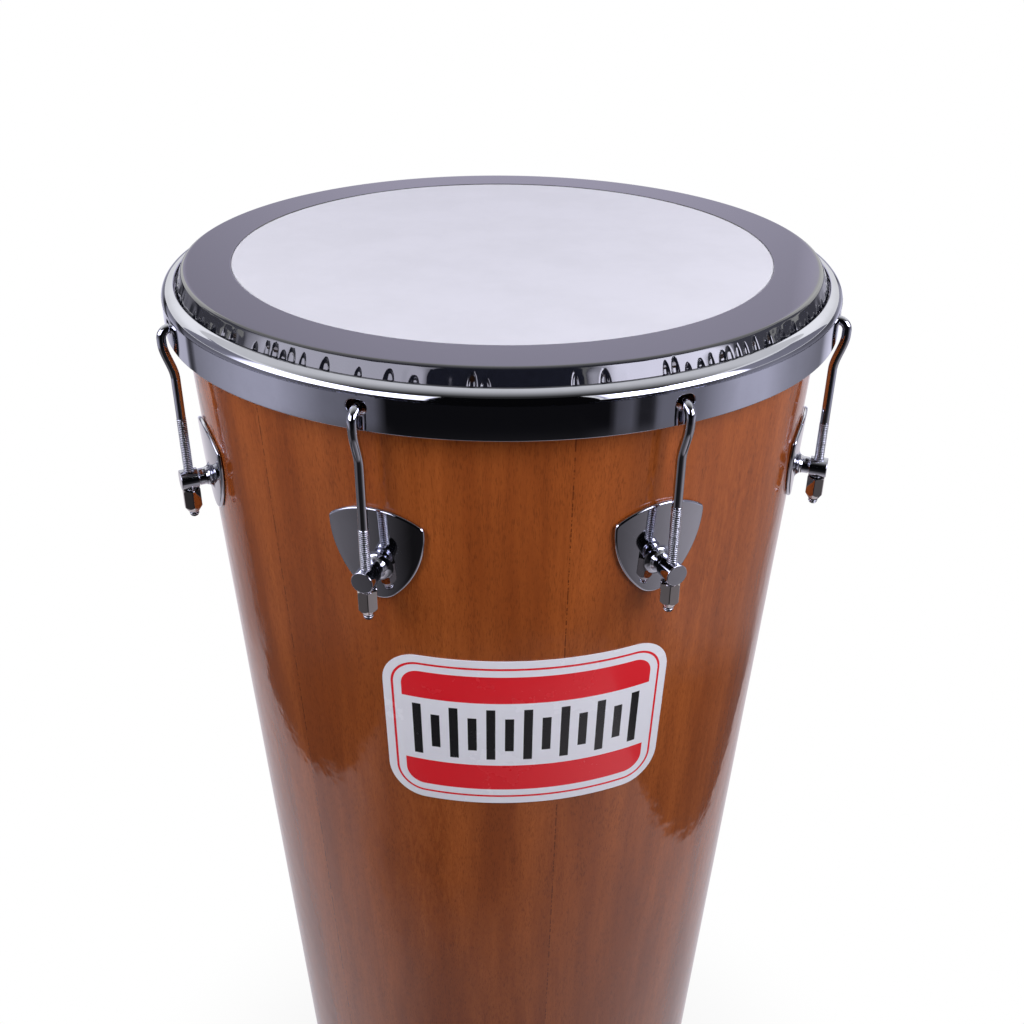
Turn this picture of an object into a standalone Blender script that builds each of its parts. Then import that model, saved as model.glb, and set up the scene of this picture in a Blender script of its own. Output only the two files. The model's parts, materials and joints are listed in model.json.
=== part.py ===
"""Timbal drum: a tapered wooden shell with one tuned head.

Metres, +Z up. The origin is on the floor under the middle of the shell, and
the front of the drum faces -Y. Eight tuning stations stand round the shell.
At each one a hooked rod pulls the counterhoop down: its hook sits in a slot
of the hoop, and its threaded end runs through a lug post to a long nut.

An azimuth is measured from the front (-Y) towards +X. Every ring has the
same number of sides, chosen so that each station meets the middle of a side.
"""

import math

import bmesh
import bpy
from mathutils import Matrix, Vector

# Overall size
DRUM_HEIGHT = 0.900
STATIONS = 8
RING_SIDES = 72

# Clearances
SEAT_GAP = 0.0003
RUNNING_GAP = 0.0003
BOLT_HOLE_GAP = 0.0005

# Shell
SHELL_TOP_RADIUS = 0.1762
SHELL_BOTTOM_RADIUS = 0.1330
SHELL_WALL = 0.0060
NECK_DEPTH = 0.0280
BEARING_ROUND = 0.0050
BEARING_CUT = 0.0010
TOP_RING_WALL = 0.0050
TOP_RING_HEIGHT = 0.0300
TOP_RING_DROP = 0.0100
BOTTOM_RING_WALL = 0.0040
BOTTOM_RING_HEIGHT = 0.0300
BOTTOM_RING_RISE = 0.0030

# Rubber trim on the bottom edge
TRIM_FLOOR = 0.0030
TRIM_LEG_WALL = 0.0022
TRIM_HEIGHT = 0.0140

# Drumhead
FILM_THICKNESS = 0.0003
VINYL_THICKNESS = 0.0005
VINYL_BAND = 0.0242
FOLD_RADIUS = 0.0025
COLLAR_GAP = 0.0004
COLLAR_LEAN = math.radians(24.0)
FLESH_CLEARANCE = 0.0011
FLESH_WIDTH = 0.0050
FLESH_HEIGHT = 0.0050
FLANGE_INNER_GAP = 0.0004

# Counterhoop
HOOP_DROP = 0.0069
HOOP_HEIGHT = 0.0224
HOOP_STEEL = 0.0020
HOOP_INNER_CORNER = 0.0014
SLOT_SIDE_PLAY = 0.0032
SLOT_HEADROOM = 0.0026

# Hooked rod and nut
ROD_RADIUS = 0.0024
BEND_RADIUS = 0.0052
BEND_ANGLE = math.radians(165.0)
TIP_CLEARANCE = 0.0012
HOOK_HEADROOM = 0.0022
HOOK_TIP = 0.0010
BOW_HEIGHT = 0.0230
BOW_LEAD = 0.0040
ROD_END = 0.0038
NUT_FLATS = 0.0090
NUT_HEIGHT = 0.0132
NUT_CHAMFER = 0.0010

# Lug post, plate and mounting bolt
LUG_DROP = 0.1051
POST_RADIUS = 0.0055
POST_NOSE_WALL = 0.0023
POST_CHAMFER = 0.0004
POST_COLLAR = 0.0012
POST_GROOVE = 0.0006
POST_GROOVE_DEPTH = 0.0008
POST_BORE_WEB = 0.0011
PLATE_WIDTH = 0.0480
PLATE_CORNER_RISE = 0.0232
PLATE_TOP_BOW = 0.0084
PLATE_POINT_DROP = 0.0222
PLATE_SIDE_BOW = 0.0072
PLATE_CORNER_ROUND = 0.0040
PLATE_POINT_ROUND = 0.0120
PLATE_THICKNESS = 0.0020
PLATE_EDGE = 0.0008
BOSS_BASE_RADIUS = 0.0110
BOSS_HEIGHT = 0.0022
BOLT_RADIUS = 0.0025
BOLT_HEAD_RADIUS = 0.0045
BOLT_CROWN_RADIUS = 0.0032
BOLT_HEAD_HEIGHT = 0.0030
BOLT_END_GAP = 0.0003
WASHER_RADIUS = 0.0070
WASHER_THICKNESS = 0.0012

# Label on the front of the shell
LABEL_AZIMUTH = math.radians(1.9)
LABEL_WIDTH = 0.1490
LABEL_HEIGHT = 0.0970
LABEL_SPACE = 0.0330
LABEL_THICKNESS = 0.0003
LABEL_CORNER = 0.0200

# Sides of the small round pieces and steps along the curves
ROD_SIDES = 8
NUT_CORNERS = 6
HOLE_SIDES = 12
POST_SIDES = 14
BOLT_SIDES = 8
CREST_STEPS = 2
FOLD_STEPS = 2
HOOP_CORNER_STEPS = 3
SLOT_END_STEPS = 6
BOW_STEPS = 4
BEND_STEPS = 7
PLATE_CORNER_STEPS = 3
PLATE_SIDE_STEPS = 4

# Heights worked out from the sizes above
HEAD_Z = DRUM_HEIGHT
FILM_TOP = HEAD_Z - VINYL_THICKNESS - SEAT_GAP
FILM_BOTTOM = FILM_TOP - FILM_THICKNESS
CREST_Z = FILM_BOTTOM - SEAT_GAP
TAPER_Z = HEAD_Z - NECK_DEPTH
SHELL_BASE = TRIM_FLOOR + SEAT_GAP
LUG_Z = HEAD_Z - LUG_DROP
HOOP_TOP = HEAD_Z - HOOP_DROP
HOOP_BOTTOM = HOOP_TOP - HOOP_HEIGHT
FLANGE_UNDERSIDE = HOOP_TOP - HOOP_STEEL
FLESH_TOP = FLANGE_UNDERSIDE - SEAT_GAP
FLESH_BOTTOM = FLESH_TOP - FLESH_HEIGHT
BEND_TOP_Z = FLESH_BOTTOM - HOOK_HEADROOM - ROD_RADIUS
BEND_CENTRE_Z = BEND_TOP_Z - BEND_RADIUS

# Radii worked out from the sizes above
HOOP_MIDDLE = SHELL_TOP_RADIUS + TIP_CLEARANCE + ROD_RADIUS + BEND_RADIUS
HOOP_OUTER = HOOP_MIDDLE + HOOP_STEEL / 2
HOOP_INNER = HOOP_MIDDLE - HOOP_STEEL / 2
HOOP_CORNER = HOOP_INNER_CORNER + HOOP_STEEL
FLESH_INNER = SHELL_TOP_RADIUS + FLESH_CLEARANCE
FLESH_OUTER = FLESH_INNER + FLESH_WIDTH
ROD_AXIS = HOOP_OUTER
ROD_HOLE_RADIUS = ROD_RADIUS + RUNNING_GAP
SLOT_WIDTH = 2 * (ROD_RADIUS + SLOT_SIDE_PLAY)
SLOT_HEIGHT = 2 * ROD_RADIUS + SEAT_GAP + SLOT_HEADROOM
BOLT_HOLE_RADIUS = BOLT_RADIUS + BOLT_HOLE_GAP
SIDE_FACTOR = math.cos(math.pi / RING_SIDES)
TAPER = (SHELL_TOP_RADIUS - SHELL_BOTTOM_RADIUS) / (TAPER_Z - SHELL_BASE)

SOFT_EDGE = math.radians(32.0)


def shell_radius(z):
    """Outer radius of the shell's side at a height."""
    return SHELL_TOP_RADIUS - TAPER * max(0.0, TAPER_Z - z)


def inner_radius(z):
    """Inner radius of the shell's side at a height."""
    return shell_radius(z) - SHELL_WALL


def clear_scene():
    for item in list(bpy.data.objects):
        bpy.data.objects.remove(item, do_unlink=True)


def make_material(name, color, roughness, metallic):
    material = bpy.data.materials.new(name)
    material.use_nodes = True
    shader = material.node_tree.nodes["Principled BSDF"]
    shader.inputs["Base Color"].default_value = (*color, 1.0)
    shader.inputs["Roughness"].default_value = roughness
    shader.inputs["Metallic"].default_value = metallic
    material.diffuse_color = (*color, 1.0)
    return material


def mesh_from(bm, name):
    """Turn a bmesh into a mesh with outward faces and soft round sides."""
    bmesh.ops.recalc_face_normals(bm, faces=bm.faces)
    mesh = bpy.data.meshes.new(name)
    bm.to_mesh(mesh)
    bm.free()
    mesh.shade_smooth()
    mesh.set_sharp_from_angle(angle=SOFT_EDGE)
    return mesh


def add_object(name, mesh, material, parent=None):
    item = bpy.data.objects.new(name, mesh)
    if not mesh.materials:
        mesh.materials.append(material)
    bpy.context.scene.collection.objects.link(item)
    item.parent = parent
    return item


def azimuth_point(azimuth, radius, z):
    return Vector((radius * math.sin(azimuth), -radius * math.cos(azimuth), z))


def loft(loops, closed_tube=False):
    """Join point loops of equal length by quads.

    The ends are capped, unless closed_tube joins the last loop to the first.
    """
    bm = bmesh.new()
    rows = [[bm.verts.new(point) for point in loop] for loop in loops]
    count = len(rows[0])
    pairs = list(zip(rows, rows[1:]))
    if closed_tube:
        pairs.append((rows[-1], rows[0]))
    for low, high in pairs:
        for i in range(count):
            j = (i + 1) % count
            bm.faces.new((low[i], low[j], high[j], high[i]))
    if not closed_tube:
        bm.faces.new(list(reversed(rows[0])))
        bm.faces.new(rows[-1])
    return bm


def revolved_ring(profile):
    """Turn a closed (radius, z) outline round the drum's axis."""
    loops = []
    for radius, z in profile:
        loop = []
        for i in range(RING_SIDES):
            loop.append(azimuth_point(math.tau * i / RING_SIDES, radius, z))
        loops.append(loop)
    return loft(loops, closed_tube=True)


def revolved_disc(radius, low, high):
    """A flat round plate."""
    loops = []
    for z in (low, high):
        loop = []
        for i in range(RING_SIDES):
            loop.append(azimuth_point(math.tau * i / RING_SIDES, radius, z))
        loops.append(loop)
    return loft(loops)


def arc(centre, radius, start, end, steps):
    """Points of a circular arc in the (radius, z) plane, both ends included."""
    points = []
    for i in range(steps + 1):
        angle = start + (end - start) * i / steps
        x = centre[0] + radius * math.cos(angle)
        z = centre[1] + radius * math.sin(angle)
        points.append((x, z))
    return points


def turned_loop(radius, x, sides):
    """A circle round the station's X axis."""
    loop = []
    for i in range(sides):
        angle = math.tau * i / sides
        loop.append(Vector((x, radius * math.cos(angle), radius * math.sin(angle))))
    return loop


def upright_loop(radius, z, sides):
    """A circle round the station's Z axis."""
    loop = []
    for i in range(sides):
        angle = math.tau * i / sides
        loop.append(Vector((radius * math.cos(angle), radius * math.sin(angle), z)))
    return loop


def cut(mesh, cutters, name):
    """Subtract cutter meshes from a mesh and return the result."""
    body = bpy.data.objects.new(name, mesh)
    bpy.context.scene.collection.objects.link(body)
    tools = []
    for index, cutter in enumerate(cutters):
        tool = bpy.data.objects.new(f"{name}_cutter_{index}", cutter)
        bpy.context.scene.collection.objects.link(tool)
        tool.hide_render = True
        tool.display_type = "WIRE"
        step = body.modifiers.new(f"cut_{index}", "BOOLEAN")
        step.operation = "DIFFERENCE"
        step.solver = "EXACT"
        step.object = tool
        tools.append(tool)
    graph = bpy.context.evaluated_depsgraph_get()
    result = bpy.data.meshes.new_from_object(body.evaluated_get(graph))
    result.name = name
    for item in [body, *tools]:
        bpy.data.objects.remove(item, do_unlink=True)
    result.shade_smooth()
    result.set_sharp_from_angle(angle=SOFT_EDGE)
    return result


def station_azimuth(index):
    return math.tau * (index + 0.5) / STATIONS


def station_matrix(index):
    """From station space (X outward, Z up, origin where rod and post cross)."""
    azimuth = station_azimuth(index)
    place = Matrix.Translation(azimuth_point(azimuth, ROD_AXIS, LUG_Z))
    return place @ Matrix.Rotation(azimuth - math.pi / 2, 4, "Z")


def moved_copy(mesh, matrix):
    copy = mesh.copy()
    copy.transform(matrix)
    return copy


# The shell and what is fixed to it


def bearing_centre():
    return (SHELL_TOP_RADIUS - BEARING_ROUND, CREST_Z - BEARING_ROUND)


def shell_profile():
    crest = arc(bearing_centre(), BEARING_ROUND, 0.0, math.pi / 2, CREST_STEPS)
    inner_top = SHELL_TOP_RADIUS - SHELL_WALL
    return [
        (SHELL_BOTTOM_RADIUS, SHELL_BASE),
        (SHELL_TOP_RADIUS, TAPER_Z),
        *crest,
        (inner_top, CREST_Z - BEARING_CUT),
        (inner_top, TAPER_Z),
        (SHELL_BOTTOM_RADIUS - SHELL_WALL, SHELL_BASE),
    ]


def make_shell(material):
    body = mesh_from(revolved_ring(shell_profile()), "shell")
    wall_x = shell_radius(LUG_Z) - ROD_AXIS
    drill = loft([
        turned_loop(BOLT_HOLE_RADIUS, wall_x - 2 * SHELL_WALL, HOLE_SIDES),
        turned_loop(BOLT_HOLE_RADIUS, wall_x + SHELL_WALL, HOLE_SIDES),
    ])
    drill_mesh = mesh_from(drill, "bolt_drill")
    cutters = [moved_copy(drill_mesh, station_matrix(i)) for i in range(STATIONS)]
    add_object("shell", cut(body, cutters, "shell"), material)


def make_lining_ring(name, low, high, wall, material):
    """A wooden ring glued inside the shell, following its taper."""
    outer_low = inner_radius(low) - SEAT_GAP
    outer_high = inner_radius(high) - SEAT_GAP
    profile = [(outer_low, low), (outer_high, high)]
    if low < TAPER_Z < high:
        profile.insert(1, (inner_radius(TAPER_Z) - SEAT_GAP, TAPER_Z))
    profile.append((outer_high - wall, high))
    profile.append((outer_low - wall, low))
    add_object(name, mesh_from(revolved_ring(profile), name), material)


def make_foot_trim(material):
    """A rubber channel pushed over the shell's bottom edge."""
    outer_face = shell_radius(TRIM_HEIGHT) + SEAT_GAP
    inner_face = SHELL_BOTTOM_RADIUS - SHELL_WALL - SEAT_GAP
    profile = [
        (inner_face - TRIM_LEG_WALL, 0.0),
        (outer_face + TRIM_LEG_WALL, 0.0),
        (outer_face + TRIM_LEG_WALL, TRIM_HEIGHT),
        (outer_face, TRIM_HEIGHT),
        (outer_face, TRIM_FLOOR),
        (inner_face, TRIM_FLOOR),
        (inner_face, TRIM_HEIGHT),
        (inner_face - TRIM_LEG_WALL, TRIM_HEIGHT),
    ]
    add_object("foot_trim", mesh_from(revolved_ring(profile), "foot_trim"), material)


def label_half_height(offset):
    """Half height of the label at a distance from its middle line."""
    half_width = LABEL_WIDTH / 2
    corner = min(LABEL_CORNER, LABEL_HEIGHT / 2, half_width)
    into_corner = max(0.0, abs(offset) - (half_width - corner))
    rise = math.sqrt(max(0.0, corner ** 2 - into_corner ** 2))
    return LABEL_HEIGHT / 2 - corner + rise


def make_label(material):
    """A thin sticker bent round the shell.

    Its first and last columns stand in by its thickness, so that half-round
    ends would still close in a narrow edge.
    """
    plate_point = min(z for _, z in plate_outline(0.0))
    middle_z = LUG_Z + plate_point - LABEL_SPACE - LABEL_HEIGHT / 2
    half_width = LABEL_WIDTH / 2
    columns = 2 * round(LABEL_WIDTH / (math.tau * SHELL_TOP_RADIUS / RING_SIDES))
    inset = LABEL_THICKNESS
    offsets = [-half_width + inset]
    for i in range(1, columns):
        offsets.append(half_width * (2 * i / columns - 1))
    offsets.append(half_width - inset)
    loops = []
    for offset in offsets:
        half_height = label_half_height(offset)
        corners = []
        for z, lift in (
            (middle_z - half_height, SEAT_GAP),
            (middle_z + half_height, SEAT_GAP),
            (middle_z + half_height, SEAT_GAP + LABEL_THICKNESS),
            (middle_z - half_height, SEAT_GAP + LABEL_THICKNESS),
        ):
            radius = shell_radius(z) + lift
            azimuth = LABEL_AZIMUTH + offset / shell_radius(middle_z)
            corners.append(azimuth_point(azimuth, radius, z))
        loops.append(corners)
    add_object("label", mesh_from(loft(loops), "label"), material)


# The drumhead


def fold_centre():
    """Centre of the bend where the head turns down over the bearing edge.

    The leaning wall below the bend clears the shell's rounded edge by
    COLLAR_GAP, which places the bend.
    """
    edge_x, edge_z = bearing_centre()
    centre_z = HEAD_Z - FOLD_RADIUS
    standoff = BEARING_ROUND + COLLAR_GAP + VINYL_THICKNESS - FOLD_RADIUS
    rise = (centre_z - edge_z) * math.sin(COLLAR_LEAN)
    return (edge_x + (standoff - rise) / math.cos(COLLAR_LEAN), centre_z)


def collar_line(depth):
    """Outer radius of the leaning collar wall at a depth under the head."""
    start_radius = fold_centre()[0] + FOLD_RADIUS * math.cos(COLLAR_LEAN)
    start_depth = FOLD_RADIUS * (1.0 - math.sin(COLLAR_LEAN))
    return start_radius + (depth - start_depth) * math.tan(COLLAR_LEAN)


def make_membrane(material):
    radius = fold_centre()[0] - FILM_THICKNESS
    disc = revolved_disc(radius, FILM_BOTTOM, FILM_TOP)
    add_object("head_membrane", mesh_from(disc, "head_membrane"), material)


def make_head_ring(material):
    """The black vinyl ring on the rim of the head, down to the fold's end."""
    centre = fold_centre()
    under = HEAD_Z - VINYL_THICKNESS
    white_edge = centre[0] - VINYL_BAND
    inside = FOLD_RADIUS - VINYL_THICKNESS
    outer_arc = arc(centre, FOLD_RADIUS, math.pi / 2, COLLAR_LEAN, FOLD_STEPS)
    inner_arc = arc(centre, inside, COLLAR_LEAN, math.pi / 2, FOLD_STEPS)
    profile = [(white_edge, under), (white_edge, HEAD_Z), *outer_arc, *inner_arc]
    add_object("head_ring", mesh_from(revolved_ring(profile), "head_ring"), material)


def collar_top_depth():
    return FOLD_RADIUS * (1.0 - math.sin(COLLAR_LEAN)) + SEAT_GAP


def collar_end_depth():
    return HEAD_Z - FLESH_TOP - SEAT_GAP


def make_collar(material):
    """The head's black side wall, from the fold down to the flesh hoop."""
    across = VINYL_THICKNESS / math.cos(COLLAR_LEAN)
    top = collar_top_depth()
    end = collar_end_depth()
    profile = [
        (collar_line(end), HEAD_Z - end),
        (collar_line(top), HEAD_Z - top),
        (collar_line(top) - across, HEAD_Z - top),
        (collar_line(end) - across, HEAD_Z - end),
    ]
    add_object("head_collar", mesh_from(revolved_ring(profile), "head_collar"), material)


def make_flesh_hoop(material):
    profile = [
        (FLESH_OUTER, FLESH_BOTTOM),
        (FLESH_OUTER, FLESH_TOP),
        (FLESH_INNER, FLESH_TOP),
        (FLESH_INNER, FLESH_BOTTOM),
    ]
    add_object("flesh_hoop", mesh_from(revolved_ring(profile), "flesh_hoop"), material)


# The counterhoop


def slot_bottom():
    """The slot's lower edge, just under the hook that pulls on it."""
    inner_bend = BEND_RADIUS - ROD_RADIUS
    rise = math.sqrt(max(0.0, inner_bend ** 2 - (HOOP_STEEL / 2) ** 2))
    return BEND_CENTRE_Z + rise - SEAT_GAP


def hoop_profile():
    centre = (HOOP_OUTER - HOOP_CORNER, HOOP_TOP - HOOP_CORNER)
    outer_arc = arc(centre, HOOP_CORNER, 0.0, math.pi / 2, HOOP_CORNER_STEPS)
    inner_arc = arc(centre, HOOP_INNER_CORNER, math.pi / 2, 0.0, 1)
    depth = HEAD_Z - FLANGE_UNDERSIDE
    flange = collar_line(depth) + FLANGE_INNER_GAP
    return [
        (HOOP_OUTER, HOOP_BOTTOM),
        *outer_arc,
        (flange, HOOP_TOP),
        (flange, FLANGE_UNDERSIDE),
        *inner_arc,
        (HOOP_INNER, HOOP_BOTTOM),
    ]


def slot_cutter():
    """A level slot with round ends, run through the hoop's wall."""
    half_height = SLOT_HEIGHT / 2
    shoulder = max(0.0, SLOT_WIDTH / 2 - half_height)
    middle_z = slot_bottom() + half_height - LUG_Z
    outline = []
    for side, turn in ((1.0, -math.pi / 2), (-1.0, math.pi / 2)):
        centre = (side * shoulder, middle_z)
        outline.extend(arc(centre, half_height, turn, turn + math.pi, SLOT_END_STEPS))
    reach = 2 * HOOP_STEEL
    loops = []
    for x in (HOOP_INNER - ROD_AXIS - reach, HOOP_OUTER - ROD_AXIS + reach):
        loops.append([Vector((x, y, z)) for y, z in outline])
    return mesh_from(loft(loops), "slot_cutter")


def make_counterhoop(material):
    band = mesh_from(revolved_ring(hoop_profile()), "counterhoop")
    slot = slot_cutter()
    cutters = [moved_copy(slot, station_matrix(i)) for i in range(STATIONS)]
    add_object("counterhoop", cut(band, cutters, "counterhoop"), material)


# The eight tuning stations, in station space


def hook_path():
    """Middle line of the hooked rod as (x, z), from its threaded end up."""
    rod_foot = -POST_RADIUS - SEAT_GAP - NUT_HEIGHT - ROD_END
    bend_x = HOOP_MIDDLE - ROD_AXIS
    bend_z = BEND_CENTRE_Z - LUG_Z
    bow_x = bend_x + BEND_RADIUS
    bow_top = bend_z - BOW_LEAD
    bow_bottom = bow_top - BOW_HEIGHT
    path = [(0.0, rod_foot), (0.0, bow_bottom)]
    for i in range(1, BOW_STEPS + 1):
        t = i / BOW_STEPS
        ease = t * t * (3.0 - 2.0 * t)
        path.append((bow_x * ease, bow_bottom + BOW_HEIGHT * t))
    bend = arc((bend_x, bend_z), BEND_RADIUS, 0.0, BEND_ANGLE, BEND_STEPS)
    path.extend(bend)
    heading = BEND_ANGLE + math.pi / 2
    tip_x = bend[-1][0] + HOOK_TIP * math.cos(heading)
    tip_z = bend[-1][1] + HOOK_TIP * math.sin(heading)
    path.append((tip_x, tip_z))
    return path


def hook_mesh():
    """Sweep the rod's round section along its flat path."""
    path = [Vector((x, 0.0, z)) for x, z in hook_path()]
    side = Vector((0.0, 1.0, 0.0))
    loops = []
    for i, point in enumerate(path):
        ahead = path[min(i + 1, len(path) - 1)]
        behind = path[max(i - 1, 0)]
        direction = (ahead - behind).normalized()
        across = side.cross(direction)
        loop = []
        for k in range(ROD_SIDES):
            angle = math.tau * (k + 0.5) / ROD_SIDES
            spoke = across * math.cos(angle) + side * math.sin(angle)
            loop.append(point + ROD_RADIUS * spoke)
        loops.append(loop)
    return mesh_from(loft(loops), "hook")


def hexagon_loop(z):
    """Corners of the nut and the middles of its flats, in turn."""
    loop = []
    half_side = math.pi / NUT_CORNERS
    for i in range(2 * NUT_CORNERS):
        radius = NUT_FLATS / 2
        if i % 2 == 0:
            radius /= math.cos(half_side)
        angle = half_side * i
        loop.append(Vector((radius * math.cos(angle), radius * math.sin(angle), z)))
    return loop


def nut_mesh():
    top = -POST_RADIUS - SEAT_GAP
    bottom = top - NUT_HEIGHT
    bore = ROD_HOLE_RADIUS
    face = NUT_FLATS / 2
    sides = 2 * NUT_CORNERS
    return mesh_from(loft([
        upright_loop(bore, bottom, sides),
        upright_loop(face, bottom, sides),
        hexagon_loop(bottom + NUT_CHAMFER),
        hexagon_loop(top - NUT_CHAMFER),
        upright_loop(face, top, sides),
        upright_loop(bore, top, sides),
    ], closed_tube=True), "nut")


def plate_face_x():
    """Outer face of the plate's boss, where the post sits."""
    wall = shell_radius(LUG_Z) - ROD_AXIS
    return wall + SEAT_GAP + PLATE_THICKNESS + BOSS_HEIGHT


def boss_top_radius():
    return POST_RADIUS + POST_CHAMFER


def post_mesh():
    """The turned post: blind bore behind, cross hole for the rod in front."""
    sides = POST_SIDES
    rear = plate_face_x() + SEAT_GAP
    front = ROD_HOLE_RADIUS + POST_NOSE_WALL
    groove = rear + POST_COLLAR
    waist = POST_RADIUS - POST_GROOVE_DEPTH
    body = mesh_from(loft([
        turned_loop(BOLT_HOLE_RADIUS, -ROD_HOLE_RADIUS - POST_BORE_WEB, sides),
        turned_loop(BOLT_HOLE_RADIUS, rear, sides),
        turned_loop(POST_RADIUS, rear, sides),
        turned_loop(POST_RADIUS, groove, sides),
        turned_loop(waist, groove, sides),
        turned_loop(waist, groove + POST_GROOVE, sides),
        turned_loop(POST_RADIUS, groove + POST_GROOVE, sides),
        turned_loop(POST_RADIUS, front - POST_CHAMFER, sides),
        turned_loop(POST_RADIUS - POST_CHAMFER, front, sides),
    ]), "lug_post")
    cross_hole = mesh_from(loft([
        upright_loop(ROD_HOLE_RADIUS, -2 * POST_RADIUS, HOLE_SIDES),
        upright_loop(ROD_HOLE_RADIUS, 2 * POST_RADIUS, HOLE_SIDES),
    ]), "cross_hole")
    return cut(body, [cross_hole], "lug_post")


def bowed_side(start, end, bow):
    """Centre and radius of the circle through a side's ends, bowed outward."""
    chord = end - start
    half = chord.length / 2
    radius = (half ** 2 + bow ** 2) / (2 * bow)
    outward = Vector((chord.y, -chord.x)).normalized()
    centre = (start + end) / 2 + outward * (bow - radius)
    return centre, radius


def corner_centre(first, second, corner, rounding):
    """Centre of the corner's rounding, inside both neighbouring circles."""
    (c1, r1), (c2, r2) = first, second
    d1 = r1 - rounding
    d2 = r2 - rounding
    line = c2 - c1
    span = line.length
    along = (span ** 2 + d1 ** 2 - d2 ** 2) / (2 * span)
    height = math.sqrt(max(0.0, d1 ** 2 - along ** 2))
    base = c1 + line * (along / span)
    across = Vector((-line.y, line.x)).normalized() * height
    choices = (base + across, base - across)
    return min(choices, key=lambda point: (point - corner).length)


def plate_outline(inset):
    """The plate's rounded triangle, point down, as (y, z) round the post.

    Three bowed sides meet in three rounded corners. An inset draws the same
    outline that much smaller all round.
    """
    half_width = PLATE_WIDTH / 2
    corners = [
        Vector((0.0, -PLATE_POINT_DROP)),
        Vector((half_width, PLATE_CORNER_RISE)),
        Vector((-half_width, PLATE_CORNER_RISE)),
    ]
    bows = (PLATE_SIDE_BOW, PLATE_TOP_BOW, PLATE_SIDE_BOW)
    rounds = (PLATE_POINT_ROUND, PLATE_CORNER_ROUND, PLATE_CORNER_ROUND)
    sides = []
    for i in range(3):
        sides.append(bowed_side(corners[i], corners[(i + 1) % 3], bows[i]))
    centres = []
    for i in range(3):
        centres.append(corner_centre(sides[i - 1], sides[i], corners[i], rounds[i]))
    points = []
    for i in range(3):
        before, after = sides[i - 1][0], sides[i][0]
        first = centres[i] - before
        last = centres[i] - after
        start = math.atan2(first.y, first.x)
        turn = (math.atan2(last.y, last.x) - start) % math.tau
        middle = (centres[i].x, centres[i].y)
        corner_end = start + turn
        points.extend(
            arc(middle, rounds[i] - inset, start, corner_end, PLATE_CORNER_STEPS))
        centre, radius = sides[i]
        onward = centres[(i + 1) % 3] - centre
        sweep = (math.atan2(onward.y, onward.x) - corner_end) % math.tau
        middle = (centre.x, centre.y)
        side_end = corner_end + sweep
        side = arc(middle, radius - inset, corner_end, side_end, PLATE_SIDE_STEPS)
        points.extend(side[1:-1])
    return points


def on_shell(y, z, lift):
    """A point at a distance along the shell's side and a lift above it."""
    world_z = LUG_Z + z
    radius = shell_radius(world_z) + lift
    azimuth = y / shell_radius(LUG_Z)
    return Vector((radius * math.cos(azimuth) - ROD_AXIS, radius * math.sin(azimuth), z))


def plate_mesh():
    """The cast plate: it hugs the shell and rises to a boss for the post."""
    back = SEAT_GAP
    shoulder = back + PLATE_THICKNESS - PLATE_EDGE
    front = back + PLATE_THICKNESS
    outer = plate_outline(0.0)
    inner = plate_outline(PLATE_EDGE)
    angles = [math.atan2(z, y) for y, z in outer]

    def ring(radius):
        return [(radius * math.cos(a), radius * math.sin(a)) for a in angles]

    def boss_ring(radius, x):
        return [Vector((x, y, z)) for y, z in ring(radius)]

    half_back = ring(BOSS_BASE_RADIUS)
    hole_back = [on_shell(y, z, back) for y, z in ring(BOLT_HOLE_RADIUS)]
    return mesh_from(loft([
        hole_back,
        [on_shell(y, z, back) for y, z in half_back],
        [on_shell(y, z, back) for y, z in outer],
        [on_shell(y, z, shoulder) for y, z in outer],
        [on_shell(y, z, front) for y, z in inner],
        [on_shell(y, z, front) for y, z in half_back],
        boss_ring(boss_top_radius(), plate_face_x()),
        boss_ring(BOLT_HOLE_RADIUS, plate_face_x()),
    ], closed_tube=True), "lug_plate")


def washer_seat_x():
    """Outer face of the washer, against the flat inner side of the shell."""
    return inner_radius(LUG_Z) * SIDE_FACTOR - ROD_AXIS - SEAT_GAP


def washer_mesh():
    """A washer tilted to lie along the tapered wall."""
    outer_face = washer_seat_x()
    inner_face = outer_face - WASHER_THICKNESS
    loops = [
        turned_loop(BOLT_HOLE_RADIUS, inner_face, HOLE_SIDES),
        turned_loop(WASHER_RADIUS, inner_face, HOLE_SIDES),
        turned_loop(WASHER_RADIUS, outer_face, HOLE_SIDES),
        turned_loop(BOLT_HOLE_RADIUS, outer_face, HOLE_SIDES),
    ]
    for loop in loops:
        for point in loop:
            point.x += point.z * TAPER
    return mesh_from(loft(loops, closed_tube=True), "lug_washer")


def bolt_mesh():
    """A round-headed bolt that holds the post from inside the shell."""
    tilt_room = BOLT_HEAD_RADIUS * TAPER
    seat = washer_seat_x() - WASHER_THICKNESS - SEAT_GAP - tilt_room
    crown = seat - BOLT_HEAD_HEIGHT
    end = -ROD_HOLE_RADIUS - POST_BORE_WEB - BOLT_END_GAP
    sides = BOLT_SIDES
    return mesh_from(loft([
        turned_loop(BOLT_CROWN_RADIUS, crown, sides),
        turned_loop(BOLT_HEAD_RADIUS, crown + BOLT_HEAD_HEIGHT / 2, sides),
        turned_loop(BOLT_HEAD_RADIUS, seat, sides),
        turned_loop(BOLT_RADIUS, seat, sides),
        turned_loop(BOLT_RADIUS, end, sides),
    ]), "lug_bolt")


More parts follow.
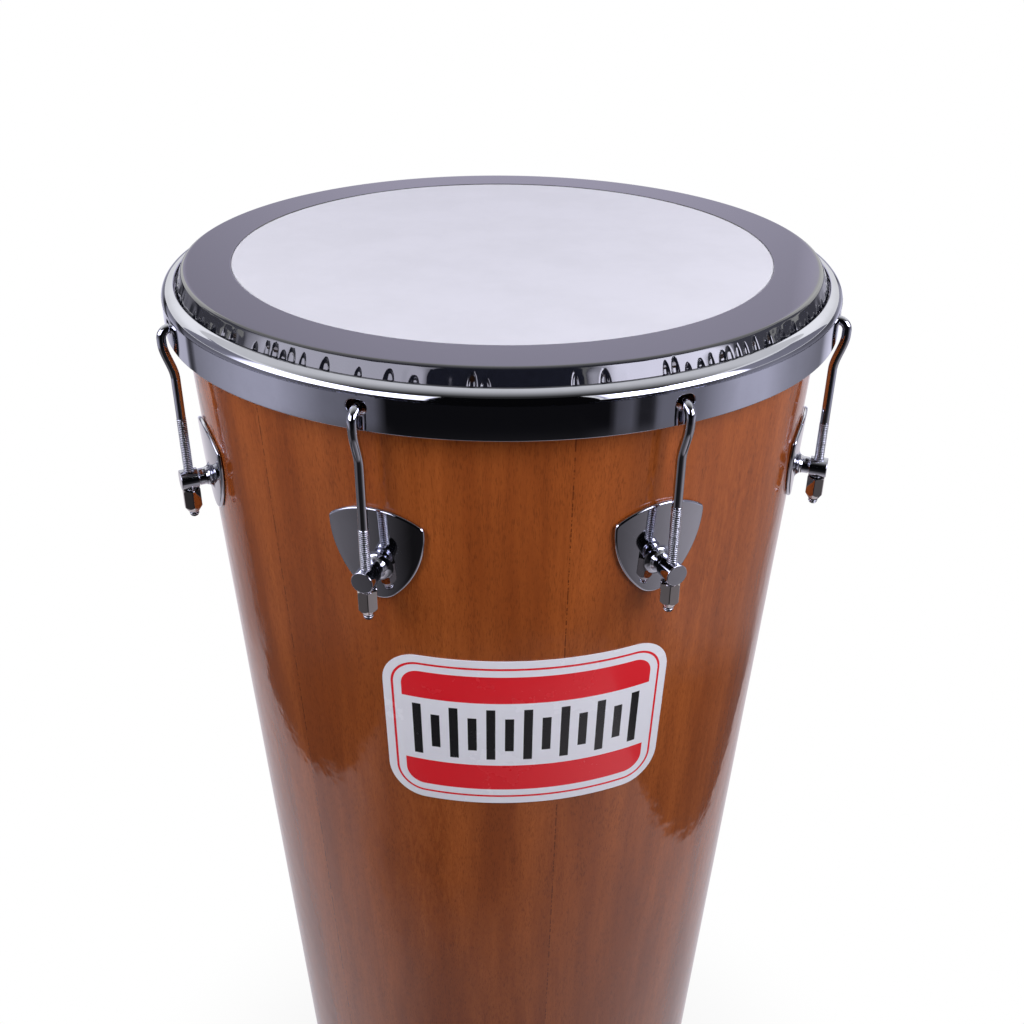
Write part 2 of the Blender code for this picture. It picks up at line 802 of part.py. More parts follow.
def make_stations(chrome, nickel, steel):
    """Place the six pieces of every station on an empty at its crossing."""
    pieces = (
        ("hook", hook_mesh(), chrome),
        ("nut", nut_mesh(), nickel),
        ("lug_post", post_mesh(), chrome),
        ("lug_plate", plate_mesh(), chrome),
        ("lug_bolt", bolt_mesh(), steel),
        ("lug_washer", washer_mesh(), steel),
    )
    for index in range(STATIONS):
        station = bpy.data.objects.new(f"station_{index + 1}", None)
        bpy.context.scene.collection.objects.link(station)
        station.matrix_world = station_matrix(index)
        for name, mesh, material in pieces:
            add_object(f"{name}_{index + 1}", mesh, material, station)


def main():
    clear_scene()
    veneer = make_material("veneer", (0.30, 0.085, 0.022), 0.16, 0.0)
    plywood = make_material("plywood", (0.42, 0.26, 0.13), 0.60, 0.0)
    film = make_material("film", (0.72, 0.71, 0.78), 0.45, 0.0)
    vinyl = make_material("vinyl", (0.012, 0.012, 0.014), 0.16, 0.0)
    chrome = make_material("chrome", (0.80, 0.80, 0.82), 0.06, 1.0)
    nickel = make_material("nickel", (0.62, 0.57, 0.50), 0.14, 1.0)
    aluminium = make_material("aluminium", (0.70, 0.70, 0.72), 0.30, 1.0)
    steel = make_material("zinc_steel", (0.55, 0.56, 0.58), 0.35, 1.0)
    rubber = make_material("rubber", (0.020, 0.020, 0.020), 0.75, 0.0)
    print_white = make_material("label_film", (0.90, 0.89, 0.92), 0.30, 0.0)

    make_shell(veneer)
    top_high = HEAD_Z - TOP_RING_DROP
    make_lining_ring(
        "top_lining_ring", top_high - TOP_RING_HEIGHT, top_high, TOP_RING_WALL, plywood)
    bottom_low = TRIM_HEIGHT + BOTTOM_RING_RISE
    make_lining_ring(
        "bottom_lining_ring", bottom_low, bottom_low + BOTTOM_RING_HEIGHT,
        BOTTOM_RING_WALL, plywood)
    make_foot_trim(rubber)
    make_label(print_white)
    make_membrane(film)
    make_head_ring(vinyl)
    make_collar(vinyl)
    make_flesh_hoop(aluminium)
    make_counterhoop(chrome)
    make_stations(chrome, nickel, steel)


main()
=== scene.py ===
"""Looks of a timbal drum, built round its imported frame.

Each operator dresses one piece of the drum, or one set of like pieces, with a
finely modelled mesh and a procedural finish. Metres, +Z up, front at -Y. An
azimuth runs from the front towards +X. A station is one of the eight tuning
points. Its own space has X outward and Z up, and its origin is where the rod
crosses the post.
"""

import json
import math
import random

import bmesh
import bpy
from bpy.props import FloatProperty, FloatVectorProperty, IntProperty, PointerProperty
from mathutils import Matrix, Vector, noise


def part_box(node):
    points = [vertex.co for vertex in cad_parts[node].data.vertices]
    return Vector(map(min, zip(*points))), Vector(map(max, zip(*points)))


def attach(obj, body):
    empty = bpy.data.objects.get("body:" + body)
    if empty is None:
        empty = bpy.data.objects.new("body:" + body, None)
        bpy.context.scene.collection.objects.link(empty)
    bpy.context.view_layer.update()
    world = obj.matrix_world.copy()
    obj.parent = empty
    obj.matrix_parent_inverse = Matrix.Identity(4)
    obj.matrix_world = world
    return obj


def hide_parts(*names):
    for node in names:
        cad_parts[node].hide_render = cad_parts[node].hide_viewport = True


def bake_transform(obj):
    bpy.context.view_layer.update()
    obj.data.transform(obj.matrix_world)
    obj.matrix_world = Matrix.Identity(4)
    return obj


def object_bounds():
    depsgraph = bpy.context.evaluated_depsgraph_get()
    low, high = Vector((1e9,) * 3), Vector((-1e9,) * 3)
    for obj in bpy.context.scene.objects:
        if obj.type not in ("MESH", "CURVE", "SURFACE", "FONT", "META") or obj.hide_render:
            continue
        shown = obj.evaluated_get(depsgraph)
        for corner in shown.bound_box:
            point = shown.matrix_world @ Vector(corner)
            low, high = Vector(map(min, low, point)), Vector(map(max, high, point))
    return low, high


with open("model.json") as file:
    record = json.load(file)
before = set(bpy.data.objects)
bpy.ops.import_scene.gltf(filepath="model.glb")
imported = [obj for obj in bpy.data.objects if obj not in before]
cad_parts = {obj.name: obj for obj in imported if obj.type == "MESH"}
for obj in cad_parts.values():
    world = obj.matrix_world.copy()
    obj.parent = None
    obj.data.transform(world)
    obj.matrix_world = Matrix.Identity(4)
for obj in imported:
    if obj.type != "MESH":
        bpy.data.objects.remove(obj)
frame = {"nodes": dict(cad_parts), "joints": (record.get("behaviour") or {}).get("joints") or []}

bl_info = {
    "name": "Timbal Drum",
    "version": (1, 0, 0),
    "blender": (4, 5, 0),
    "location": "View3D > Sidebar > Timbal",
    "description": "Builds the detailed pieces and finishes of a timbal drum",
    "category": "Object",
}

# Places read from the frame
CAD_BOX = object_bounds()
HEAD_TOP = CAD_BOX[1].z
SHELL_LOW, SHELL_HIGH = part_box("shell")
TRIM_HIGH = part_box("foot_trim")[1]
HOOP_LOW, HOOP_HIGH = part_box("counterhoop")
FLESH_LOW, FLESH_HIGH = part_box("flesh_hoop")
FILM_LOW, FILM_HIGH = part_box("head_membrane")
RIM_LOW, RIM_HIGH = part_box("head_ring")
COLLAR_LOW, COLLAR_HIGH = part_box("head_collar")
LABEL_LOW, LABEL_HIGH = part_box("label")
HOOK_LOW, HOOK_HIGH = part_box("hook_1")
NUT_LOW, NUT_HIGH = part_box("nut_1")
CROSSINGS = [Vector(place) for name, place in sorted(
    (joint["name"], joint["pos_m"]) for joint in frame["joints"]
    if joint["name"].startswith("nut_"))]
LUG_Z = CROSSINGS[0].z
ROD_AXIS = CROSSINGS[0].xy.length

# Sizes that the pieces share with the frame
SEAT_GAP = 0.0003
ROD_RADIUS = 0.0024
ROD_HOLE_RADIUS = 0.0027
BOLT_HOLE_RADIUS = 0.0030
SHELL_WALL = 0.0060
NECK_DEPTH = 0.0280
TRIM_LEG = 0.0022
TRIM_FLOOR = 0.0030
VINYL = 0.0005
RIM_BAND = 0.0242
FOLD_RADIUS = 0.0025
FOLD_REACH = FOLD_RADIUS * 0.9979
COLLAR_LEAN = math.radians(24.0)
HOOP_STEEL = 0.0020
PLATE_THICKNESS = 0.0020
POST_RADIUS = 0.0055
WASHER_THICKNESS = 0.0012

# Places that follow from them
SHELL_TOP_RADIUS = SHELL_HIGH.x
NECK_Z = HEAD_TOP - NECK_DEPTH
TRIM_FACE = TRIM_HIGH.x - TRIM_LEG - SEAT_GAP
TAPER = (SHELL_TOP_RADIUS - TRIM_FACE) / (NECK_Z - TRIM_HIGH.z)
FOLD_Z = HEAD_TOP - FOLD_RADIUS
FOLD_X = RIM_HIGH.x - FOLD_REACH
WHITE_EDGE = FOLD_X - RIM_BAND
LABEL_Z = (LABEL_LOW.z + LABEL_HIGH.z) / 2
LABEL_HALF = (LABEL_HIGH.z - LABEL_LOW.z) / 2
BOLT_END = -ROD_HOLE_RADIUS - 0.0011

# Details that only the looks have
CREST_FLAT = 0.25
CREST_RISE = 0.00015
PLY = 0.0026
UP = Vector((0.0, 0.0, 1.0))

# Darker figure in the veneer: azimuth in degrees, height, half width, half height, slant
FIGURE_PATCHES = (
    (37.0, 0.795, 0.034, 0.062, -0.35),
    (-17.0, 0.620, 0.016, 0.200, 0.02),
    (158.0, 0.560, 0.040, 0.090, 0.30),
    (-118.0, 0.380, 0.034, 0.110, -0.25),
)

# The studio's wall, floor and backdrop as (azimuth in degrees, tone) all round
WALL_TONES = (
    (-180, 1.00), (-150, 0.80), (-137, 0.45), (-134.5, 0.04), (-132, 0.04), (-130, 0.56),
    (-121, 0.56), (-119, 0.06), (-116, 0.06), (-114, 0.26), (-88, 0.49), (-74, 0.49),
    (-57, 0.21), (-41, 0.14), (-37, 0.006), (29, 0.006), (31, 0.09), (36, 0.12),
    (37, 0.02), (42, 0.02), (44, 0.18), (58, 0.20), (73, 0.55), (84, 0.58), (98, 0.35),
    (119, 0.20), (123, 0.55), (129, 0.79), (138, 0.79), (140, 0.06), (143, 0.90),
    (180, 1.05),
)
FAR_FLOOR_TONES = (
    (-180, 1.00), (-148, 0.78), (-126, 0.42), (-121, 0.38), (-115, 0.10), (-96, 0.13),
    (-64, 0.18), (-34, 0.01), (20, 0.02), (40, 0.12), (70, 0.42), (102, 0.26),
    (125, 0.28), (133, 0.66), (180, 1.00),
)
BARE_FLOOR_TONES = (
    (-180, 0.90), (-146, 0.60), (-128, 0.34), (-122, 0.10), (-93, 0.06), (-61, 0.05),
    (36, 0.06), (68, 0.06), (100, 0.08), (124, 0.12), (134, 0.60), (180, 0.90),
)
PAPER_TONES = (
    (-180, 0.90), (-146, 0.72), (-125, 0.64), (-93, 0.62), (-68, 0.56), (-50, 0.18),
    (-29, 0.06), (0, 0.14), (36, 0.44), (52, 0.56), (100, 0.60), (131, 0.70), (180, 0.90),
)
NEAR_PAPER_TONES = (
    (-180, 0.90), (-141, 0.70), (-120, 0.62), (-90, 0.62), (-65, 0.60), (-50, 0.48),
    (-30, 0.29), (0, 0.28), (34, 0.48), (65, 0.60), (95, 0.60), (126, 0.70), (180, 0.90),
)
BACKDROP_TONES = (
    (-180, 0.83), (-174, 0.80), (-165, 0.68), (-160, 0.61), (-156.5, 1.26), (-120, 1.26),
    (120, 1.26), (152, 1.26), (156, 0.72), (163, 0.80), (172, 0.84), (180, 0.83),
)

# The two front softboxes as the gloss sees them: name, strength, tones
SOFTBOXES = (
    ("softbox_left", 3.8, (
        (-125, 0.08), (-104, 0.06), (-94, 0.08), (-78, 1.0), (-32, 1.0), (-19, 0.0))),
    ("softbox_right", 7.6, ((26, 0.0), (34, 1.0), (66, 1.0), (76, 0.04), (118, 0.03))),
)

# Edges of the sheet on the studio's floor, each as a ramp from off it to on it
SHEET_LEFT = (-0.740, -0.710)
SHEET_BACK = (0.385, 0.415)
SHEET_RIGHT = (0.612, 0.588)

PLAIN_WHITE = (1.0, 1.0, 1.0)
FLOOR_TINT = (1.0, 0.945, 1.02)
WALL_TINT = (1.0, 0.99, 1.19)
SOFTBOX_TINT = (0.99, 0.98, 1.19)
BACKDROP_TINT = (1.0, 0.95, 1.23)

# Name, azimuth and elevation in degrees, and the level in the stage's look
LAMPS = (
    ("lamp_left", -58.0, 28.0, "key_level"),
    ("lamp_right", 48.0, 28.0, "right_key_level"),
    ("lamp_back_left", -140.0, 26.0, "back_level"),
    ("lamp_back_right", 140.0, 26.0, "back_level"),
)

# Each metal's material, and its roughness where clean and where smudged
METALS = {
    "chrome": ("chrome_mirror", 0.030, 0.075),
    "nickel": ("nickel_plate", 0.045, 0.11),
    "zinc": ("zinc_plate", 0.22, 0.40),
    "aluminium": ("aluminium_satin", 0.26, 0.38),
}

# How much longer than usual each rod's thread is
THREAD_EXTRA = (0.0048, -0.0026, 0.0010, -0.0020, 0.0030, 0.0, 0.0062, -0.0035)

# How finely round pieces are cut
RING_SIDES = 288
HOOP_SIDES = 768
PLEAT_SIDES = 2880
ROD_SIDES = 20
SOFT_EDGE = math.radians(38.0)
HARD_EDGE = math.radians(24.0)


def shell_radius(z):
    """Outer radius of the shell's side at a height."""
    return SHELL_TOP_RADIUS - TAPER * max(0.0, NECK_Z - z)


def azimuth_point(azimuth, radius, z):
    return Vector((radius * math.sin(azimuth), -radius * math.cos(azimuth), z))


def station_matrix(index):
    """From a station's space to the frame's."""
    spot = CROSSINGS[index - 1]
    return Matrix.Translation(spot) @ Matrix.Rotation(math.atan2(spot.y, spot.x), 4, "Z")


def ease(t):
    """Smooth step from 0 to 1."""
    t = min(1.0, max(0.0, t))
    return t * t * (3.0 - 2.0 * t)


def wave_noise(azimuth, cycles, seed):
    """Smooth noise round the drum, about -1 to 1, with no seam."""
    reach = cycles / math.tau
    spot = Vector((reach * math.sin(azimuth), reach * math.cos(azimuth), seed))
    return 2.0 * noise.noise(spot)


# Mesh making


def soft_outline(corners, steps=4):
    """Round the corners of a closed outline given as (x, y, radius)."""
    points = []
    for i, (x, y, radius) in enumerate(corners):
        if radius <= 0.0:
            points.append((x, y))
            continue
        here = Vector((x, y))
        before = (Vector(corners[i - 1][:2]) - here).normalized()
        after = (Vector(corners[(i + 1) % len(corners)][:2]) - here).normalized()
        half = before.angle(after) / 2
        middle = here + (before + after).normalized() * (radius / math.sin(half))
        first = here + before * (radius / math.tan(half)) - middle
        last = here + after * (radius / math.tan(half)) - middle
        turn = first.angle_signed(last)
        for k in range(steps + 1):
            spoke = first.copy()
            spoke.rotate(Matrix.Rotation(-turn * k / steps, 2))
            points.append(tuple(middle + spoke))
    return points


def arc(x, y, radius, start, end, steps):
    """Points round (x, y) from one angle to another."""
    angles = [start + (end - start) * i / steps for i in range(steps + 1)]
    return [(x + radius * math.cos(a), y + radius * math.sin(a)) for a in angles]


def quarter(radius, steps):
    """Steps of a rounded edge, as (distance back from the end, inset)."""
    angles = [math.pi / 2 * i / steps for i in range(steps + 1)]
    return [(radius * (1.0 - math.sin(a)), radius * (1.0 - math.cos(a))) for a in angles]


def turn_level(profile, sides):
    """Loops of an (x, radius) outline turned round a station's X axis."""
    angles = [math.tau * i / sides for i in range(sides)]
    return [[Vector((x, radius * math.cos(a), radius * math.sin(a))) for a in angles]
            for x, radius in profile]


def circle(centre, direction, radius, sides):
    """A circle round a line in a station's XZ plane."""
    side = Vector((0.0, 1.0, 0.0))
    across = side.cross(direction)
    return [centre + radius * (across * math.cos(a) + side * math.sin(a))
            for a in (math.tau * k / sides for k in range(sides))]


def join_loops(bm, loops):
    """Join neighbouring loops of vertices by quads."""
    for low, high in zip(loops, loops[1:]):
        for i in range(len(low)):
            j = (i + 1) % len(low)
            bm.faces.new((low[i], low[j], high[j], high[i]))


def finish_mesh(bm, name, soft=SOFT_EDGE):
    bmesh.ops.recalc_face_normals(bm, faces=bm.faces)
    mesh = bpy.data.meshes.new(name)
    bm.to_mesh(mesh)
    bm.free()
    mesh.shade_smooth()
    mesh.set_sharp_from_angle(angle=soft)
    return mesh


def loft(loops, name, soft=SOFT_EDGE, ring=False):
    """A mesh through loops of equal length, with capped ends unless they make a ring."""
    bm = bmesh.new()
    rows = [[bm.verts.new(point) for point in loop] for loop in loops]
    join_loops(bm, rows + rows[:1] if ring else rows)
    if not ring:
        bm.faces.new(list(reversed(rows[0])))
        bm.faces.new(rows[-1])
    return finish_mesh(bm, name, soft)


def turn_loops(profile, sides=RING_SIDES):
    """Loops of a (radius, z) outline turned round the drum's axis."""
    return [[azimuth_point(math.tau * i / sides, radius, z) for i in range(sides)]
            for radius, z in profile]


def link(name, data):
    """A new object in the scene."""
    item = bpy.data.objects.new(name, data)
    bpy.context.scene.collection.objects.link(item)
    return item


def cut(mesh, cutters):
    """Subtract cutter meshes from a mesh and return the result."""
    body = link(mesh.name, mesh)
    tools = [link("cutter", cutter) for cutter in cutters]
    for tool in tools:
        step = body.modifiers.new("cut", "BOOLEAN")
        step.operation = "DIFFERENCE"
        step.solver = "EXACT"
        step.object = tool
    graph = bpy.context.evaluated_depsgraph_get()
    result = bpy.data.meshes.new_from_object(body.evaluated_get(graph))
    for item in [body, *tools]:
        bpy.data.objects.remove(item, do_unlink=True)
    result.shade_smooth()
    result.set_sharp_from_angle(angle=SOFT_EDGE)
    return result


def moved(mesh, matrix):
    copy = mesh.copy()
    copy.transform(matrix)
    return copy


def add_piece(name, mesh, material, node, body="drum", even=True):
    """Put a mesh in the scene as the piece that stands for a node."""
    piece = link(name, mesh)
    mesh.materials.clear()
    mesh.materials.append(material)
    if even:
        piece.modifiers.new("even_shading", "WEIGHTED_NORMAL").keep_sharp = True
    if body:
        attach(piece, body)
    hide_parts(node)
    return piece


def add_at_stations(stem, mesh, material, node_stem, body_stem=None):
    """Copy a station piece to all stations, each on its own body or the drum."""
    for index in range(1, len(CROSSINGS) + 1):
        add_piece(f"{stem}_{index}", moved(mesh, station_matrix(index)), material,
                  f"{node_stem}_{index}", f"{body_stem}_{index}" if body_stem else "drum")


# Shader building


def plug(tree, socket, value):
    """Link a shader value to a socket, or set the socket's own value."""
    if isinstance(value, Value):
        tree.links.new(value.socket, socket)
    elif value is not None:
        socket.default_value = (*value[:3], 1.0) if socket.type == "RGBA" else value


class Value:
    """What a shader socket puts out. Sums and products of it are math nodes."""

    def __init__(self, tree, socket):
        self.tree, self.socket = tree, socket

    def __add__(self, other):
        return combine("ADD", self, other)

    def __sub__(self, other):
        return combine("SUBTRACT", self, other)

    def __rsub__(self, other):
        return combine("SUBTRACT", other, self)

    def __mul__(self, other):
        return combine("MULTIPLY", self, other)

    def __truediv__(self, other):
        return combine("DIVIDE", self, other)

    def __abs__(self):
        return combine("ABSOLUTE", self)


def combine(operation, *values, clamp=False):
    """A math node on numbers and shader values."""
    tree = next(value.tree for value in values if isinstance(value, Value))
    return Shading(tree).wire("ShaderNodeMath", values, operation=operation, use_clamp=clamp)


class Shading:
    """Short calls for adding nodes to the tree of a material, a group or the world."""

    def __init__(self, tree):
        self.tree = tree

    def node(self, kind, **values):
        """A node fed by socket name. Returns what it puts out, by name."""
        node = self.tree.nodes.new(kind)
        self.feed(node, **values)
        return self.outputs(node)

    def feed(self, node, **values):
        for key, value in values.items():
            plug(self.tree, node.inputs[key.replace("_", " ")], value)

    def outputs(self, node):
        return {socket.name: Value(self.tree, socket) for socket in node.outputs}

    def wire(self, kind, values, output=0, **settings):
        """A node fed in the order of its sockets, where None leaves one alone."""
        node = self.tree.nodes.new(kind)
        for key, value in settings.items():
            setattr(node, key, value)
        for socket, value in zip(node.inputs, values):
            plug(self.tree, socket, value)
        return Value(self.tree, node.outputs[output])

    def finish(self, **values):
        """Feed the Principled shader."""
        self.feed(self.tree.nodes["Principled BSDF"], **values)

    def surface(self, value):
        self.feed(self.tree.nodes["Material Output"], Surface=value)

    def place(self):
        return self.node("ShaderNodeTexCoord")["Object"]

    def around(self):
        """Azimuth, height and radius of the shaded point."""
        return self.group("round_place", Place=self.place()).values()

    def group(self, name, **values):
        node = self.tree.nodes.new("ShaderNodeGroup")
        node.node_tree = bpy.data.node_groups[name]
        self.feed(node, **values)
        return self.outputs(node)

    def mix(self, factor, first, second):
        """Mix two colours."""
        return self.wire("ShaderNodeMix", (factor, *[None] * 5, first, second), 2,
                         data_type="RGBA")

    def mix_shaders(self, share, first, second):
        return self.wire("ShaderNodeMixShader", (share, first, second))

    def ramp(self, value, low, high, out_low=0.0, out_high=1.0):
        """Smooth step from one level to another."""
        return self.wire("ShaderNodeMapRange", (value, low, high, out_low, out_high),
                         interpolation_type="SMOOTHSTEP")

    def noise(self, vector, scale, detail=2.0, roughness=0.5):
        """Noise at one scale, or at one for each axis."""
        if isinstance(scale, tuple):
            vector = self.wire("ShaderNodeMapping", (vector, None, None, scale))
            scale = 1.0
        return self.node("ShaderNodeTexNoise", Vector=vector, Scale=scale, Detail=detail,
                         Roughness=roughness)["Fac"]

    def vector(self, operation, first, second=None, scale=None):
        return self.wire("ShaderNodeVectorMath", (first, second, None, scale),
                         operation=operation)

    def bump(self, height, strength, distance):
        return self.node("ShaderNodeBump", Height=height, Strength=strength,
                         Distance=distance)["Normal"]


def new_group(name, inputs, outputs):
    """A shader group with inputs by name, None for a vector, and outputs for numbers."""
    tree = bpy.data.node_groups.new(name, "ShaderNodeTree")
    for label, default in inputs.items():
        kind = "NodeSocketVector" if default is None else "NodeSocketFloat"
        socket = tree.interface.new_socket(name=label, in_out="INPUT", socket_type=kind)
        if default is not None:
            socket.default_value = default
    for label in outputs:
        tree.interface.new_socket(name=label, in_out="OUTPUT", socket_type="NodeSocketFloat")
    shading = Shading(tree)
    return shading, shading.node("NodeGroupInput")


def new_material(name, **values):
    """A Principled material with constant values on its own sockets."""
    material = bpy.data.materials.new(name)
    material.use_nodes = True
    shading = Shading(material.node_tree)
    shading.finish(**values)
    return material, shading


def new_bare_material(name):
    """A material with nothing but its output."""
    material, shading = new_material(name)
    shading.tree.nodes.remove(shading.tree.nodes["Principled BSDF"])
    return material, shading


def build_groups():
    """The three shader groups that the finishes share."""
    shading, entry = new_group("round_place", {"Place": None}, ("Azimuth", "Height", "Radius"))
    x, y, z = shading.node("ShaderNodeSeparateXYZ", Vector=entry["Place"]).values()
    shading.node("NodeGroupOutput", Azimuth=combine("ARCTAN2", x, y * -1.0), Height=z,
                 Radius=combine("SQRT", x * x + y * y))

    # Upright grain: broad figure, fine streaks and short dark pores
    shading, entry = new_group("wood_grain", {"Place": None, "Fineness": 1.0},
                               ("Figure", "Streak", "Fleck", "Pores"))
    place = shading.vector("SCALE", entry["Place"], scale=entry["Fineness"])
    drift = shading.noise(place, (9.0, 9.0, 2.5))
    bend = shading.vector("SCALE", (0.020, 0.020, 0.0), scale=drift)
    swayed = shading.vector("ADD", place, bend)
    specks = shading.noise(swayed, (2800.0, 2800.0, 230.0), 1.0)
    limit = shading.noise(swayed, (160.0, 160.0, 30.0)) * -0.30 + 0.72
    shading.node("NodeGroupOutput",
                 Figure=shading.noise(swayed, (42.0, 42.0, 3.4), 3.0, 0.55),
                 Streak=shading.noise(swayed, (420.0, 420.0, 14.0), 4.0, 0.62),
                 Fleck=shading.noise(swayed, (900.0, 900.0, 260.0), 2.0, 0.6),
                 Pores=shading.ramp(specks, limit, limit + 0.08))

    # Soft smudges and hairline scuffs of a handled surface
    shading, entry = new_group("handling", {"Place": None, "Smudge Size": 60.0, "Clean": 0.05,
                                            "Smudged": 0.12}, ("Roughness", "Mask"))
    cloud = shading.noise(entry["Place"], entry["Smudge Size"], 4.0, 0.6)
    lines = shading.noise(entry["Place"], (900.0, 2600.0, 700.0), 1.0)
    mask = combine("ADD", shading.ramp(cloud, 0.42, 0.72),
                   shading.ramp(lines, 0.66, 0.78, 0.0, 0.35), clamp=True)
    shading.node("NodeGroupOutput", Mask=mask,
                 Roughness=mask * (entry["Smudged"] - entry["Clean"]) + entry["Clean"])


def veneer_finish(look):
    """Reddish brown veneer in upright sheets under clear gloss varnish."""
    material, shading = new_material("veneer_varnished", IOR=1.50)
    place = shading.place()
    azimuth, height, radius = shading.around()
    sheet_angle = math.tau / look.sheets
    spot = (azimuth - look.joint_azimuth) / sheet_angle
    sheet = combine("FLOORED_MODULO", combine("FLOOR", spot), float(look.sheets))
    shift = shading.wire("ShaderNodeCombineXYZ", (None, None, sheet * 0.055))
    grain = shading.group("wood_grain", Place=shading.vector("ADD", place, shift), Fineness=1.0)

    figure = shading.ramp(grain["Figure"], 0.32, 0.68)
    color = shading.mix(figure, look.deep_color, look.light_color)
    streaks = shading.ramp(grain["Streak"], 0.34, 0.68) * 0.30
    color = shading.mix(streaks, color, look.streak_color)
    flecks = shading.ramp(grain["Fleck"], 0.42, 0.66) * 0.24
    color = shading.mix(flecks, color, look.streak_color)
    dashes = shading.ramp(shading.noise(place, (520.0, 520.0, 90.0)), 0.42, 0.60)
    cloud = shading.noise(place, 55.0) * 1.6
    for middle, middle_z, half_width, half_height, slant in FIGURE_PATCHES:
        up = height - middle_z
        along = ((azimuth - math.radians(middle)) * radius + up * slant) / half_width
        up = up / half_height
        patch = shading.ramp(along * along + up * up + cloud, 2.0, 0.8) * dashes
        color = shading.mix(patch * 0.62, color, look.deep_color)
    color = shading.mix(grain["Pores"] * 0.32, color, look.pore_color)

    edge = (0.5 - abs(combine("FRACT", spot) - 0.5)) * (radius * sheet_angle)
    broken = shading.noise(place, (30.0, 30.0, 520.0))
    width = shading.ramp(broken, 0.42, 0.54, 0.00002, look.joint_width)
    joint = (1.0 - shading.ramp(edge, 0.0, width)) * 0.85
    color = shading.mix(joint, color, look.pore_color)

    mid_wall = SHELL_TOP_RADIUS - SHELL_WALL / 2
    inner = combine("MINIMUM", height * TAPER + (mid_wall - TAPER * NECK_Z), mid_wall)
    outside = combine("GREATER_THAN", radius, inner)
    bare = shading.mix(figure * 0.6, look.inside_color, look.light_color)
    color = shading.mix(outside, bare, color)
    # Painted shade: the shell's top under the hoop turns near black
    neck = shading.ramp(height, NECK_Z + 0.0025, NECK_Z + 0.0040)
    waves = (shading.noise(place, (90.0, 90.0, 55.0))
             + shading.noise(place, (300.0, 300.0, 170.0), 1.0) * 0.09)
    relief = waves + grain["Streak"] * 0.015 - grain["Pores"] * 0.015
    varnished, unvarnished = 0.05, 0.52
    shading.finish(Base_Color=shading.mix(neck, color, look.neck_painted_shade_color),
                   Roughness=outside * (varnished - unvarnished) + unvarnished,
                   Normal=shading.bump(relief, 1.0, 0.00022))
    return material


def plywood_finish():
    """Raw birch plywood: pale plies on the cut edges, open grain on the face."""
    material, shading = new_material("plywood_raw", Roughness=0.62)
    _, height, radius = shading.around()
    grain = shading.group("wood_grain", Place=shading.place(), Fineness=0.8)
    plies = combine("FRACT", (radius - height * TAPER) / PLY)
    color = shading.mix(shading.ramp(grain["Streak"], 0.3, 0.7), (0.36, 0.21, 0.10),
                        (0.50, 0.33, 0.18))
    color = shading.mix(shading.ramp(plies, 0.45, 0.55) * 0.35, color, (0.20, 0.10, 0.045))
    color = shading.mix(grain["Pores"] * 0.5, color, (0.10, 0.05, 0.02))
    shading.finish(Base_Color=color, Normal=shading.bump(grain["Streak"], 0.4, 0.0003))
    return material


def handled(shading, smudge_size, clean, smudged):
    """Roughness of a handled surface, and the mask of its smudges."""
    return shading.group("handling", Place=shading.place(), Smudge_Size=smudge_size,
                         Clean=clean, Smudged=smudged).values()


def metal_finish(name, color, clean, smudged):
    """A plated metal with smudges and hairline scuffs, built when first asked for."""
    if name in bpy.data.materials:
        return bpy.data.materials[name]
    material, shading = new_material(name, Metallic=1.0)
    roughness, mask = handled(shading, 55.0, clean, smudged)
    worn = [channel * 0.9 for channel in color]
    shading.finish(Base_Color=shading.mix(mask * 0.5, color, worn), Roughness=roughness)
    return material


def metal(kind):
    """The material of one of the drum's metals."""
    name, clean, smudged = METALS[kind]
    color = getattr(bpy.context.scene.drum_metal, f"{kind}_color")
    return metal_finish(name, color, clean, smudged)


def vinyl_finish(look):
    """Black gloss vinyl with a faint cloud and soft handling marks."""
    material, shading = new_material("vinyl_black", IOR=1.50, Coat_Weight=1.0,
                                     Coat_Roughness=0.04, Coat_IOR=1.50)
    roughness, _ = handled(shading, 45.0, 0.045, 0.085)
    tone = shading.noise(shading.place(), 300.0, 3.0)
    grey = [channel * 1.6 for channel in look.vinyl_color]
    shading.finish(Base_Color=shading.mix(tone, look.vinyl_color, grey), Roughness=roughness)
    return material


def film_finish(look):
    """White coated drum film: matte, with a faint cloud and fine tooth."""
    material, shading = new_material("head_film_coated", IOR=1.45)
    place = shading.place()
    cloud = shading.noise(place, 22.0, 4.0, 0.6)
    shade = [channel * 0.955 for channel in look.film_color]
    shading.finish(
        Base_Color=shading.mix(shading.ramp(cloud, 0.35, 0.68), look.film_color, shade),
        Roughness=shading.ramp(cloud, 0.3, 0.7, 0.46, 0.56),
        Normal=shading.bump(shading.noise(place, 2600.0, 1.0), 0.12, 0.0001))
    return material


def rubber_finish():
    """Black rubber with pale dust in its grain."""
    material, shading = new_material("rubber_black", IOR=1.50)
    dust = shading.noise(shading.place(), 120.0, 4.0, 0.65)
    mask = shading.ramp(dust, 0.45, 0.75, 0.0, 0.6)
    shading.finish(
        Base_Color=shading.mix(mask, (0.016, 0.016, 0.017), (0.060, 0.057, 0.054)),
        Roughness=shading.ramp(dust, 0.3, 0.7, 0.55, 0.75),
        Normal=shading.bump(dust, 0.2, 0.0002))
    return material


